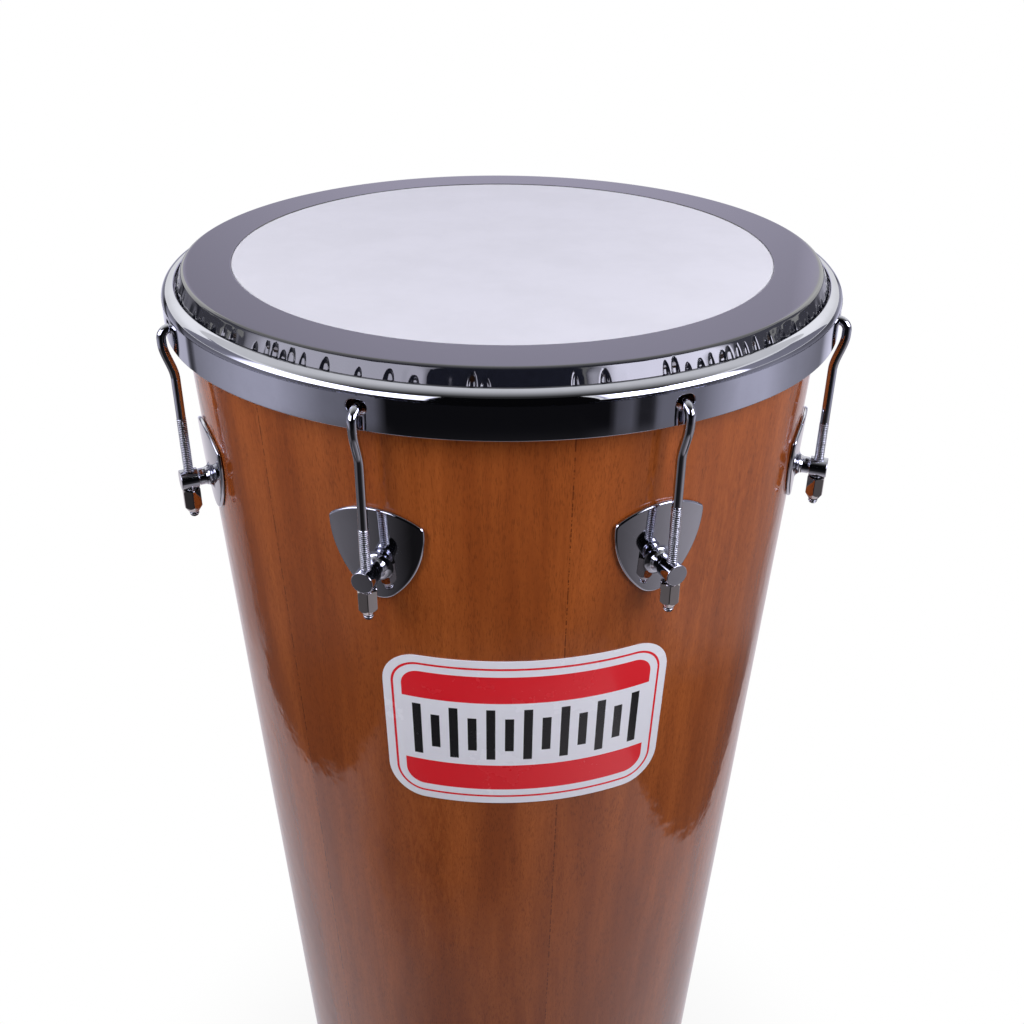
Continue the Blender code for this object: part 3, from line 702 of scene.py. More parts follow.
def print_finish(look):
    """Gloss sticker: pale field, red frame line, and a row of black bars."""
    material, shading = new_material("label_printed", IOR=1.50, Coat_Weight=0.6,
                                     Coat_Roughness=0.08)
    azimuth, height, _ = shading.around()
    along = (azimuth - look.azimuth) * shell_radius(LABEL_Z)
    side, rise = abs(along), abs(height - LABEL_Z)
    soft = look.ink_edge

    def below(value, limit):
        """Ink mask that is 1 under a limit, with a crisp edge."""
        return 1.0 - shading.ramp(value, limit - soft, limit + soft)

    def framed(inset):
        """Mask inside a rounded rectangle that much smaller than the sticker."""
        over = combine("MAXIMUM", side - (look.width / 2 - look.corner), 0.0)
        above = combine("MAXIMUM", rise - (LABEL_HALF - look.corner), 0.0)
        return below(combine("SQRT", over * over + above * above), look.corner - inset)

    line_end = look.frame_inset + look.frame_line
    line = framed(look.frame_inset) - framed(line_end)
    stripe = 1.0 - below(rise, look.bar_height / 2 + look.stripe_gap)
    red = combine("MAXIMUM", line, stripe * framed(line_end + look.stripe_gap))
    step = along / look.bar_pitch + 0.5
    cell = abs(combine("FRACT", step) - 0.5) * look.bar_pitch
    odd = combine("FLOORED_MODULO", combine("FLOOR", step), 2.0)
    over_bar = rise - (odd * -look.bar_step + look.bar_height / 2)
    black = (below(cell, look.bar_width / 2) * below(over_bar, 0.0)
             * below(side, look.bar_count * look.bar_pitch / 2))
    color = shading.mix(red, look.paper_color, look.red_color)
    roughness, _ = handled(shading, 40.0, 0.22, 0.32)
    shading.finish(Base_Color=shading.mix(black, color, look.black_color),
                   Roughness=roughness)
    return material


# Sizes and colours that a user would change


def length_prop(name, default, description):
    return FloatProperty(name=name, description=description, default=default,
                         unit="LENGTH", precision=6)


def angle_prop(name, degrees, description):
    return FloatProperty(name=name, description=description, default=math.radians(degrees),
                         subtype="ANGLE")


def color_prop(name, default, description):
    return FloatVectorProperty(name=name, description=description, default=default,
                               subtype="COLOR")


def count_prop(name, default, description):
    return IntProperty(name=name, description=description, default=default, min=1)


def level_prop(name, default, description):
    return FloatProperty(name=name, description=description, default=default)


class ShellLook(bpy.types.PropertyGroup):
    sheets: count_prop("Veneer Sheets", 7, "Sheets of veneer round the shell")
    joint_azimuth: angle_prop("Joint Azimuth", 7.7, "Where one of the veneer joints runs")
    joint_width: length_prop("Joint Width", 0.0005, "Width of the dark line at a veneer joint")
    wave_depth: length_prop("Wave Depth", 0.00005, "How far the varnished side waves in and out")
    light_color: color_prop("Light Wood", (0.400, 0.102, 0.023), "Lightest tone of the figure")
    deep_color: color_prop("Deep Wood", (0.255, 0.058, 0.013), "Darkest tone of the figure")
    streak_color: color_prop("Streak", (0.205, 0.048, 0.012), "Tone of the fine upright streaks")
    pore_color: color_prop("Pore", (0.050, 0.013, 0.005), "Tone of pores and joints")
    inside_color: color_prop("Inside", (0.240, 0.110, 0.050), "Unvarnished wood inside the shell")
    # Neck colour: near-black painted shade on the shell's top, where it lies in the hoop's shadow
    neck_painted_shade_color: color_prop("Neck", (0.012, 0.006, 0.004), "Dark sealed wood under the hoop")
    bearing_round: length_prop("Bearing Round", 0.0050, "Rounding of the edge under the head")
    bearing_cut: length_prop("Bearing Cut", 0.0010, "Drop from the crest to the inner wall")


class HeadLook(bpy.types.PropertyGroup):
    film_color: color_prop("Film", (0.606, 0.600, 0.688), "Colour of the drum film")
    vinyl_color: color_prop("Vinyl", (0.0060, 0.0065, 0.0110), "Black ring and side wall")
    film_step: length_prop("Film Step", 0.00025, "How far the film lies under the ring's top")
    rim_radius: length_prop("Rim Radius", 0.0020, "Rounding where the ring folds down")
    pleats: count_prop("Pleats", 190, "Places round the side wall where a pleat may be")
    pleat_depth: length_prop("Pleat Depth", 0.0014, "How far the deepest pleats go in")


class HoopLook(bpy.types.PropertyGroup):
    edge_round: length_prop("Edge Round", 0.0005, "Rounding of lower edge and flange")
    corner_round: length_prop("Corner Round", 0.0060, "Rounding where band meets flange")
    flange_slope: angle_prop("Flange Slope", 6.0, "How far the flange slopes down outward")
    slot_width: length_prop("Slot Width", 0.0098, "Width of the slot that takes a hook")
    slot_height: length_prop("Slot Height", 0.0071, "Height of that slot")
    slot_round: length_prop("Slot Round", 0.0004, "Rounding of the slot's rim")


class HookLook(bpy.types.PropertyGroup):
    bend_radius: length_prop("Bend Radius", 0.0052, "Radius of the hook's bend, on its middle line")
    bend_angle: angle_prop("Bend Angle", 165.0, "How far the hook bends over")
    bow_height: length_prop("Bow Height", 0.0200, "Height of the bow under the hook")
    bow_lead: length_prop("Bow Lead", 0.0025, "Straight run between bow and bend")
    tip: length_prop("Tip", 0.0010, "Straight run at the hook's tip")
    thread_pitch: length_prop("Thread Pitch", 0.0254 / 24, "Rise of the thread in a turn")
    thread_depth: length_prop("Thread Depth", 0.00060, "Depth of the thread")
    thread_length: length_prop("Thread Length", 0.0533, "Threaded length of the rod")
    # The groove colour is painted shade deep in the thread, and the crest colour a painted
    # highlight on the thread's crests
    groove_painted_shade_color: color_prop("Groove", (0.030, 0.030, 0.035), "Dull metal deep in the thread")
    crest_painted_highlight_color: color_prop("Crest", (0.70, 0.71, 0.76), "Worn metal on the thread's crest")


class LugLook(bpy.types.PropertyGroup):
    nut_flats: length_prop("Nut Flats", 0.0090, "Width of the nut across its flats")
    nut_turn: angle_prop("Nut Turn", 28.0, "How far the nuts are turned from square")
    plate_width: length_prop("Plate Width", 0.0480, "Width between the plate's upper corners")
    plate_rise: length_prop("Plate Rise", 0.0232, "Upper corners above the post's middle")
    plate_drop: length_prop("Plate Drop", 0.0222, "The point below the post's middle")
    top_bow: length_prop("Top Bow", 0.0084, "How far the plate's upper side bows out")
    side_bow: length_prop("Side Bow", 0.0072, "How far the plate's two other sides bow out")
    corner_round: length_prop("Corner Round", 0.0040, "Rounding of the plate's upper corners")
    point_round: length_prop("Point Round", 0.0120, "Rounding of the plate's point")
    boss_radius: length_prop("Boss Radius", 0.0085, "Radius where the boss leaves the plate")
    boss_height: length_prop("Boss Height", 0.0020, "Rise of the boss above the plate")


class LabelLook(bpy.types.PropertyGroup):
    azimuth: angle_prop("Azimuth", 1.9, "Middle of the label")
    width: length_prop("Width", 0.1490, "Width along the shell")
    corner: length_prop("Corner", 0.0200, "Rounding of the corners")
    frame_inset: length_prop("Frame Inset", 0.0045, "Pale edge outside the red frame line")
    frame_line: length_prop("Frame Line", 0.0013, "Width of the red frame line")
    stripe_gap: length_prop("Stripe Gap", 0.0042, "Pale gap beside the red fields")
    bar_count: count_prop("Bars", 13, "Black bars in the row")
    bar_pitch: length_prop("Bar Pitch", 0.0095, "Distance between bars")
    bar_width: length_prop("Bar Width", 0.0046, "Width of a bar")
    bar_height: length_prop("Bar Height", 0.0340, "Height of the taller bars")
    bar_step: length_prop("Bar Step", 0.0060, "How much shorter the others are at each end")
    ink_edge: length_prop("Ink Edge", 0.00006, "Softness of the print's edges")
    paper_color: color_prop("Paper", (0.870, 0.865, 0.985), "Pale field")
    red_color: color_prop("Red", (0.800, 0.008, 0.020), "Red ink")
    black_color: color_prop("Black", (0.006, 0.006, 0.008), "Black ink")


class MetalLook(bpy.types.PropertyGroup):
    chrome_color: color_prop("Chrome", (0.590, 0.600, 0.662), "Hoop, hooks, posts, plates")
    nickel_color: color_prop("Nickel", (0.620, 0.580, 0.570), "Nuts")
    zinc_color: color_prop("Zinc", (0.520, 0.525, 0.540), "Bolts and washers")
    aluminium_color: color_prop("Aluminium", (0.300, 0.300, 0.320), "Flesh hoop")


class StageLook(bpy.types.PropertyGroup):
    lens: level_prop("Lens", 38.8538, "Focal length in millimetres on a 36 mm frame")
    distance: length_prop("Distance", 0.60423, "Camera's level distance from the drum's axis")
    height: length_prop("Height", 0.17924, "Camera above the head")
    azimuth: angle_prop("Azimuth", 2.854, "Where the camera stands, from the front towards -X")
    heading: angle_prop("Heading", 3.4291, "Where the camera looks, from +Y towards +X")
    pitch: angle_prop("Pitch", 27.1663, "How far the camera looks down")
    roll: angle_prop("Roll", 0.5189, "The camera's own turn")
    shift: level_prop("Shift", -0.05566, "Upright shift of the frame")
    floor_color: color_prop("Floor", (0.90, 0.90, 0.91), "Colour of the floor")
    sky_level: level_prop("Sky Level", 0.12, "Soft light from all round")
    key_level: level_prop("Key Level", 0.78, "Light of the left front lamp on what faces it")
    right_key_level: level_prop("Right Key Level", 0.98,
                                "Light of the right front lamp on what faces it")
    back_level: level_prop("Back Level", 0.40, "Light of each back lamp on what faces it")


LOOKS = {
    "drum_shell": ShellLook,
    "drum_head": HeadLook,
    "drum_hoop": HoopLook,
    "drum_hook": HookLook,
    "drum_lug": LugLook,
    "drum_label": LabelLook,
    "drum_metal": MetalLook,
    "drum_stage": StageLook,
}


# The shell and what is fixed to it


def shell_mesh(look):
    """The tapered wooden tube with its rounded bearing edge and bolt holes."""
    rows = 66
    heights = [SHELL_LOW.z + (NECK_Z - SHELL_LOW.z) * i / rows for i in range(rows)]
    inner_top, rounding = SHELL_TOP_RADIUS - SHELL_WALL, look.bearing_round
    profile = [(shell_radius(z), z) for z in heights] + [(SHELL_TOP_RADIUS, NECK_Z)]
    profile += arc(SHELL_TOP_RADIUS - rounding, SHELL_HIGH.z - rounding, rounding, 0.0,
                   math.pi / 2, 8)
    profile += [(inner_top, SHELL_HIGH.z - look.bearing_cut), (inner_top, NECK_Z)]
    profile += [(shell_radius(z) - SHELL_WALL, z) for z in reversed(heights[::6])]
    loops = turn_loops(profile)
    for loop in loops:
        for point in loop:
            radius = point.xy.length
            if TRIM_HIGH.z < point.z < NECK_Z and radius > shell_radius(point.z) - 0.001:
                wave = noise.noise(point * 26.0) + 0.5 * noise.noise(point * 61.0)
                point.xy *= 1.0 + look.wave_depth * wave / radius
    wall_x = shell_radius(LUG_Z) - ROD_AXIS
    drill = loft(turn_level([(wall_x - 2 * SHELL_WALL, BOLT_HOLE_RADIUS),
                             (wall_x + SHELL_WALL, BOLT_HOLE_RADIUS)], 32), "drill")
    drills = [moved(drill, station_matrix(i + 1)) for i in range(len(CROSSINGS))]
    return cut(loft(loops, "shell_wood", ring=True), drills)


class DRUM_OT_shell(bpy.types.Operator):
    """Build the varnished wooden shell"""

    bl_idname = "drum.shell"
    bl_label = "Shell"

    def execute(self, context):
        look = context.scene.drum_shell
        add_piece("shell_wood", shell_mesh(look), veneer_finish(look), "shell")
        return {"FINISHED"}


def lining_mesh(node):
    """A lining ring with eased edges, following the shell's taper."""
    low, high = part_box(node)
    foot = shell_radius(low.z) - SHELL_WALL - SEAT_GAP
    middle = [(high.x, NECK_Z, 0.0)] if low.z < NECK_Z < high.z else []
    radii = sorted(round(v.co.xy.length, 5) for v in frame["nodes"][node].data.vertices
                   if abs(v.co.z - high.z) < SEAT_GAP)
    wall, eased = radii[-1] - radii[0], 0.0008
    outline = [(foot, low.z, eased), *middle, (high.x, high.z, eased),
               (high.x - wall, high.z, eased), (foot - wall, low.z, eased)]
    return loft(turn_loops(soft_outline(outline)), node, ring=True)


class DRUM_OT_lining_rings(bpy.types.Operator):
    """Build the two plywood rings glued inside the shell"""

    bl_idname = "drum.lining_rings"
    bl_label = "Lining Rings"

    def execute(self, context):
        material = plywood_finish()
        for node in ("top_lining_ring", "bottom_lining_ring"):
            add_piece(f"{node}_wood", lining_mesh(node), material, node)
        return {"FINISHED"}


def foot_mesh():
    """The rubber channel on the shell's bottom edge, with grip lines outside."""
    outer, top = TRIM_HIGH.x, TRIM_HIGH.z
    inner_face = shell_radius(SHELL_LOW.z) - SHELL_WALL - SEAT_GAP
    inner, shell_face = inner_face - TRIM_LEG, TRIM_FACE + SEAT_GAP
    lines = []
    groove = 0.0004
    for i in range(3):
        z = TRIM_FLOOR + 0.0022 + 0.0028 * i
        lines += [(outer, z, 0.0), (outer - groove, z + groove, 0.0),
                  (outer, z + 2 * groove, 0.0)]
    outline = [
        (inner, 0.0, 0.0010), (outer, 0.0, 0.0012), *lines, (outer, top, 0.0008),
        (shell_face, top, 0.0004), (shell_face, TRIM_FLOOR, 0.0003),
        (inner_face, TRIM_FLOOR, 0.0003), (inner_face, top, 0.0004), (inner, top, 0.0008),
    ]
    return loft(turn_loops(soft_outline(outline)), "foot_rubber", ring=True)


class DRUM_OT_foot(bpy.types.Operator):
    """Build the rubber trim on the shell's bottom edge"""

    bl_idname = "drum.foot"
    bl_label = "Foot Trim"

    def execute(self, context):
        add_piece("foot_rubber", foot_mesh(), rubber_finish(), "foot_trim")
        return {"FINISHED"}


def label_mesh(look):
    """The sticker, bent round the shell, with fine steps at its round corners."""
    straight = look.width / 2 - look.corner
    steps, middle_steps = 14, 40
    quarters = [math.pi / 2 * i / steps for i in range(steps + 1)]
    offsets = [-straight - look.corner * math.cos(a) for a in quarters[:-1]]
    offsets += [straight * (2 * i / middle_steps - 1) for i in range(middle_steps + 1)]
    offsets += [straight + look.corner * math.sin(a) for a in quarters[1:]]
    loops = []
    for offset in offsets:
        into = max(0.0, abs(offset) - straight)
        tall = LABEL_HALF - look.corner + math.sqrt(max(0.0, look.corner ** 2 - into ** 2))
        azimuth = look.azimuth + offset / shell_radius(LABEL_Z)
        loops.append([azimuth_point(azimuth, shell_radius(z) + lift, z) for z, lift in (
            (LABEL_Z - tall, SEAT_GAP), (LABEL_Z + tall, SEAT_GAP),
            (LABEL_Z + tall, 2 * SEAT_GAP), (LABEL_Z - tall, 2 * SEAT_GAP))])
    return loft(loops, "label_sticker")


class DRUM_OT_label(bpy.types.Operator):
    """Build the sticker on the front of the shell"""

    bl_idname = "drum.label"
    bl_label = "Label"

    def execute(self, context):
        look = context.scene.drum_label
        add_piece("label_sticker", label_mesh(look), print_finish(look), "label")
        return {"FINISHED"}


# The drumhead


def film_mesh(look):
    """The playing film, which steps up inside the black ring."""
    top = HEAD_TOP - look.film_step
    radii = [0.02, 0.05, 0.09, 0.13, WHITE_EDGE - 0.0010]
    profile = [(r, FILM_LOW.z) for r in radii]
    profile += [(FILM_HIGH.x, FILM_LOW.z), (FILM_HIGH.x, FILM_HIGH.z),
                (WHITE_EDGE, FILM_HIGH.z), (WHITE_EDGE - 0.0003, top - 0.0001),
                (WHITE_EDGE - 0.0005, top)]
    profile += [(r, top) for r in reversed(radii)]
    return loft(turn_loops(profile), "head_film")


def collar_radius(z):
    """Outer radius of the leaning side wall at a height, pulled tight."""
    start_radius = FOLD_X + FOLD_RADIUS * math.cos(COLLAR_LEAN)
    start_z = FOLD_Z + FOLD_RADIUS * math.sin(COLLAR_LEAN)
    return start_radius + (start_z - z) * math.tan(COLLAR_LEAN)


def make_pleats(look):
    """Pleats as (azimuth, half width, height as a share of the wall, depth)."""
    chance = random.Random(11)
    pitch = math.tau / look.pleats
    pleats = []
    for i in range(look.pleats):
        azimuth = (i + chance.uniform(-0.32, 0.32)) * pitch
        half_width = chance.uniform(0.32, 0.54) * pitch
        height = chance.uniform(0.50, 1.02)
        depth = chance.uniform(0.55, 1.0)
        bunched = ease(0.5 + 1.4 * wave_noise(azimuth, 9.0, 3.3))
        from_front = abs(math.remainder(azimuth, math.tau))
        front = 1.0 - 0.55 * math.exp(-(from_front / 0.28) ** 2)
        beside = ease((from_front - 0.72) / 0.35)
        if chance.random() < (0.62 + 0.38 * bunched) * front * (1.0 - 0.25 * beside):
            pleats.append((azimuth, half_width, height * (1.0 - 0.45 * beside), depth))
    return pleats


def pleat_field(look, heights):
    """How far in the side wall goes, by height and by column."""
    field = [[0.0] * PLEAT_SIDES for _ in heights]
    step = math.tau / PLEAT_SIDES
    top = HEAD_TOP - look.rim_radius / 2
    for azimuth, half_width, tall, depth in make_pleats(look):
        first = int((azimuth - half_width) / step) - 1
        last = int((azimuth + half_width) / step) + 2
        for row, z in zip(field, heights):
            rise = (z - COLLAR_LOW.z) / (top - COLLAR_LOW.z) / tall
            if rise >= 1.0:
                continue
            arch = math.sqrt(1.0 - max(0.0, rise) ** 2)
            for column in range(first, last):
                off = abs(column * step - azimuth) / (half_width * arch)
                if off < 1.0:
                    place = column % PLEAT_SIDES
                    row[place] = max(row[place], depth * arch * ease((1.0 - off) / 0.70))
    slack = [0.12 * wave_noise(column * step, 60.0, 8.0)
             + 0.10 * wave_noise(column * step, 150.0, 2.0) for column in range(PLEAT_SIDES)]
    for row, z in zip(field, heights):
        share = min(1.0, max(0.0, (top - z) / 0.0030))
        row[:] = [look.pleat_depth * (dent + share * loose) for dent, loose in zip(row, slack)]
    return field


def wrap_vinyl(look, profile, name):
    """Turn an outline of (radius, z) round the drum, drawn in by the pleats."""
    field = pleat_field(look, [z for _, z in profile])
    loops = [[azimuth_point(math.tau * i / PLEAT_SIDES, radius - dent, z)
              for i, dent in enumerate(row)] for (radius, z), row in zip(profile, field)]
    return loft(loops, name, math.radians(62.0), ring=True)


def rim_mesh(look):
    """The black ring: its flat, the fold, and the first of the pleats."""
    rounding = look.rim_radius
    centre_z = HEAD_TOP - rounding
    tangent_z = centre_z + rounding * math.sin(COLLAR_LEAN)
    centre_x = collar_radius(tangent_z) - rounding * math.cos(COLLAR_LEAN)
    end = collar_radius(RIM_LOW.z)
    profile = [(WHITE_EDGE, HEAD_TOP - VINYL), (WHITE_EDGE, HEAD_TOP - VINYL / 2),
               (WHITE_EDGE + VINYL / 2, HEAD_TOP), (WHITE_EDGE + 0.0008, HEAD_TOP),
               (centre_x - 0.0015, HEAD_TOP)]
    profile += arc(centre_x, centre_z, rounding, math.pi / 2, COLLAR_LEAN, 7)
    profile += [(end, RIM_LOW.z), (end - VINYL / math.cos(COLLAR_LEAN), RIM_LOW.z)]
    profile += arc(centre_x, centre_z, rounding - VINYL, COLLAR_LEAN, math.pi / 2, 7)
    return wrap_vinyl(look, profile, "head_rim")


def collar_mesh(look):
    """The pleated side wall, from the fold down to the flesh hoop."""
    rows = 10
    across = VINYL / math.cos(COLLAR_LEAN)
    heights = [RIM_LOW.z + (COLLAR_LOW.z - RIM_LOW.z) * i / (rows - 1) for i in range(rows)]
    profile = [(collar_radius(z), z) for z in heights]
    profile += [(radius - across, z) for radius, z in reversed(profile)]
    return wrap_vinyl(look, profile, "head_pleats")


class DRUM_OT_head(bpy.types.Operator):
    """Build the drumhead: film, black ring and pleated side wall"""

    bl_idname = "drum.head"
    bl_label = "Drumhead"

    def execute(self, context):
        look = context.scene.drum_head
        vinyl = vinyl_finish(look)
        add_piece("head_film", film_mesh(look), film_finish(look),
                  "head_membrane")
        add_piece("head_rim", rim_mesh(look), vinyl, "head_ring", even=False)
        pleats = add_piece("head_pleats", collar_mesh(look), vinyl,
                           "head_collar", None, even=False)
        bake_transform(pleats)
        return {"FINISHED"}


class DRUM_OT_flesh_hoop(bpy.types.Operator):
    """Build the aluminium hoop inside the counterhoop"""

    bl_idname = "drum.flesh_hoop"
    bl_label = "Flesh Hoop"

    def execute(self, context):
        radii = [v.co.xy.length for v in frame["nodes"]["flesh_hoop"].data.vertices]
        inner, outer = min(radii), max(radii)
        outline = [(outer, FLESH_LOW.z, 0.0009), (outer, FLESH_HIGH.z, 0.0009),
                   (inner, FLESH_HIGH.z, 0.0006), (inner, FLESH_LOW.z, 0.0009)]
        add_piece("flesh_ring", loft(turn_loops(soft_outline(outline)), "flesh_ring", ring=True),
                  metal("aluminium"), "flesh_hoop", "hoop")
        return {"FINISHED"}


# The counterhoop


def slot_outline(look, directions):
    """Points of a slot's rim as (along, up) from its middle, one per direction."""
    end_round = look.slot_height / 2
    shoulder = look.slot_width / 2 - end_round
    points = []
    for x, y in directions:
        angle = math.atan2(y, x)
        dx, dy = math.cos(angle), math.sin(angle)
        reach = end_round / max(abs(dy), 1e-9)
        if abs(reach * dx) > shoulder:
            along = shoulder * abs(dx)
            reach = along + math.sqrt(along ** 2 - shoulder ** 2 + end_round ** 2)
        points.append((reach * dx, reach * dy))
    return points


def grown(points, amount):
    """Move outline points out along the outline's normals."""
    out = []
    for i, (x, y) in enumerate(points):
        run = Vector(points[(i + 1) % len(points)]) - Vector(points[i - 1])
        run.normalize()
        out.append((x + run.y * amount, y - run.x * amount))
    return out


def slot_middle_z(look):
    """Middle of the slots: each hook's bend pulls on the slot's lower edge."""
    bend = bpy.context.scene.drum_hook.bend_radius
    rise = math.sqrt((bend - ROD_RADIUS) ** 2 - (HOOP_STEEL / 2) ** 2)
    return HOOK_HIGH.z - ROD_RADIUS - bend + rise - SEAT_GAP + look.slot_height / 2


def border(rows, columns):
    """Row and column places once round a block of the grid."""
    walk = [(rows[0], c) for c in columns[:-1]]
    walk += [(r, columns[-1]) for r in rows[:-1]]
    walk += [(rows[-1], c) for c in reversed(columns[1:])]
    return walk + [(r, columns[0]) for r in reversed(rows[1:])]


def hoop_mesh(look):
    """The band with its flange, and a rounded slot for each hook."""
    outer, inner, under = HOOP_HIGH.x, HOOP_HIGH.x - HOOP_STEEL, HOOP_HIGH.z - HOOP_STEEL
    clearance, row_step = 0.0004, 0.00145
    flange = collar_radius(under) + clearance
    drop = (outer - flange) * math.tan(look.flange_slope)
    heights = [slot_middle_z(look) + row_step * (i - 4) for i in range(9)]
    edge = look.edge_round
    profile = soft_outline([
        (outer, HOOP_LOW.z, edge), *[(outer, z, 0.0) for z in heights],
        (outer, HOOP_HIGH.z - drop, look.corner_round), (flange, HOOP_HIGH.z, edge),
        (flange, under, edge), (inner, under, look.corner_round - HOOP_STEEL),
        *[(inner, z, 0.0) for z in reversed(heights)], (inner, HOOP_LOW.z, edge)], 5)
    out_rows = [profile.index((outer, z)) for z in heights]
    in_rows = [profile.index((inner, z)) for z in heights]
    bm = bmesh.new()
    grid = [[bm.verts.new(point) for point in loop] for loop in turn_loops(profile, HOOP_SIDES)]
    half_columns = 6
    middles = [int(HOOP_SIDES * (i + 0.5) / len(CROSSINGS)) for i in range(len(CROSSINGS))]
    pierced = {(k, (middle + c) % HOOP_SIDES) for middle in middles
               for c in range(-half_columns, half_columns) for k in out_rows[:-1] + in_rows[1:]}
    for k, row in enumerate(grid):
        high_row = grid[(k + 1) % len(grid)]
        for i in range(HOOP_SIDES):
            if (k, i) not in pierced:
                j = (i + 1) % HOOP_SIDES
                bm.faces.new((row[i], row[j], high_row[j], high_row[i]))
    for middle in middles:
        add_slot(bm, grid, out_rows, in_rows, middle, half_columns, look)
    return finish_mesh(bm, "hoop_band")


def add_slot(bm, grid, out_rows, in_rows, middle, half_columns, look):
    """Line one slot with rings that run from the outer face to the inner face."""
    outer, inner = HOOP_HIGH.x, HOOP_HIGH.x - HOOP_STEEL
    middle_z = slot_middle_z(look)
    step = math.tau / HOOP_SIDES
    span = list(range(-half_columns, half_columns + 1))
    columns = [(middle + c) % HOOP_SIDES for c in span]
    places = [(c * step * outer, grid[r][0].co.z - middle_z) for r, c in border(out_rows, span)]
    rim = slot_outline(look, places)
    halfway = [((a + c) / 2, (b + d) / 2) for (a, b), (c, d)
               in zip(places, grown(rim, look.slot_round))]

    def ring(points, radius):
        return [bm.verts.new(azimuth_point(middle * step + along / outer, radius, middle_z + up))
                for along, up in points]

    rings = [[grid[r][c] for r, c in border(out_rows, columns)], ring(halfway, outer)]
    rings += [ring(grown(rim, out), outer - into) for out, into in quarter(look.slot_round, 3)]
    rings += [ring(grown(rim, out), inner + into) for into, out in quarter(look.slot_round, 3)]
    rings += [ring(halfway, inner), [grid[r][c] for r, c in border(in_rows, columns)]]
    join_loops(bm, rings)


class DRUM_OT_counterhoop(bpy.types.Operator):
    """Build the chromed counterhoop with its slots"""

    bl_idname = "drum.counterhoop"
    bl_label = "Counterhoop"

    def execute(self, context):
        add_piece("hoop_band", hoop_mesh(context.scene.drum_hoop), metal("chrome"),
                  "counterhoop", "hoop")
        return {"FINISHED"}


# The eight tuning stations, in station space


def hook_path(look, thread_top):
    """Middle line of the hooked rod as (x, z), from the end of its thread up."""
    bend_z = HOOK_HIGH.z - ROD_RADIUS - look.bend_radius - LUG_Z
    bend_x = HOOP_HIGH.x - HOOP_STEEL / 2 - ROD_AXIS
    bow_low = bend_z - look.bow_lead - look.bow_height
    bow_x = bend_x + look.bend_radius
    path = [(0.0, thread_top + (bow_low - thread_top) * i / 4) for i in range(4)]
    path += [(bow_x * ease(i / 20), bow_low + look.bow_height * i / 20) for i in range(21)]
    path += arc(bend_x, bend_z, look.bend_radius, 0.0, look.bend_angle, 26)
    heading = look.bend_angle + math.pi / 2
    path.append((path[-1][0] + look.tip * math.cos(heading),
                 path[-1][1] + look.tip * math.sin(heading)))
    return [Vector((x, 0.0, z)) for x, z in path]


def hook_mesh(look, thread_length):
    """The rod: threaded foot, plain shank, bow, bend and eased tip."""
    pitch, depth, rows_per_turn = look.thread_pitch, look.thread_depth, 10
    lead_in, tip_round = 0.0006, 0.0006
    foot = HOOK_LOW.z - LUG_Z
    start = foot + lead_in
    thread_top = foot + thread_length
    loops = [circle(UP * (foot + lift), UP, ROD_RADIUS - depth - lead_in + lift, ROD_SIDES)
             for lift in (0.0, lead_in / 2)]
    rows = round(thread_length / pitch * rows_per_turn)
    for row in range(rows):
        z = start + (thread_length - lead_in) * row / rows
        fade = min(ease((z - start) / pitch), ease((thread_top - z) / (1.5 * pitch)))
        base = ROD_RADIUS - 0.0004 * max(0.0, 1.0 - (z - start) / pitch)
        loop = circle(UP * z, UP, 1.0, ROD_SIDES)
        for k, point in enumerate(loop):
            turn = (z - foot) / pitch + k / ROD_SIDES
            off_crest = abs((turn + 0.5) % 1.0 - 0.5) * 2.0
            sunk = depth * max(0.0, off_crest - CREST_FLAT) / (1.0 - CREST_FLAT) - CREST_RISE
            point.xy *= base - sunk * fade
        loops.append(loop)
    path = hook_path(look, thread_top)
    for i, point in enumerate(path[:-1]):
        direction = (path[i + 1] - path[max(i - 1, 0)]).normalized()
        loops.append(circle(point, direction, ROD_RADIUS, ROD_SIDES))
    direction = (path[-1] - path[-2]).normalized()
    loops += [circle(path[-1] - direction * back, direction, ROD_RADIUS - inset, ROD_SIDES)
              for back, inset in quarter(tip_round, 3)]
    return loft(loops, "hook_rod")


def thread_tones(look, mesh, thread_length):
    """The thread's faces, each with its material: 1 in the groove, a painted shade, 2 on the crest,
    a painted highlight.
    """
    end = HOOK_LOW.z - LUG_Z + thread_length - look.thread_pitch
    groove = ROD_RADIUS + CREST_RISE - 0.45 * look.thread_depth
    return [(face.index, 1 if face.center.xy.length < groove else 2)
            for face in mesh.polygons if face.center.z < end and abs(face.normal.z) < 0.98]


class DRUM_OT_hooks(bpy.types.Operator):
    """Build the eight hooked rods"""

    bl_idname = "drum.hooks"
    bl_label = "Hooks"

    def execute(self, context):
        look = context.scene.drum_hook
        for index, extra in enumerate(THREAD_EXTRA, 1):
            thread_length = look.thread_length + extra
            mesh = hook_mesh(look, thread_length)
            tones = thread_tones(look, mesh, thread_length)
            mesh.transform(station_matrix(index))
            add_piece(f"hook_rod_{index}", mesh, metal("chrome"), f"hook_{index}",
                      f"hook_{index}", even=False)
            # Second and third materials: painted shade in the thread's grooves, painted highlight
            # on its crests
            mesh.materials.append(metal_finish("chrome_groove_painted_shade", look.groove_painted_shade_color, 0.29, 0.36))
            mesh.materials.append(metal_finish("chrome_crest_painted_highlight", look.crest_painted_highlight_color, 0.30, 0.34))
            for face, tone in tones:
                mesh.polygons[face].material_index = tone
        return {"FINISHED"}


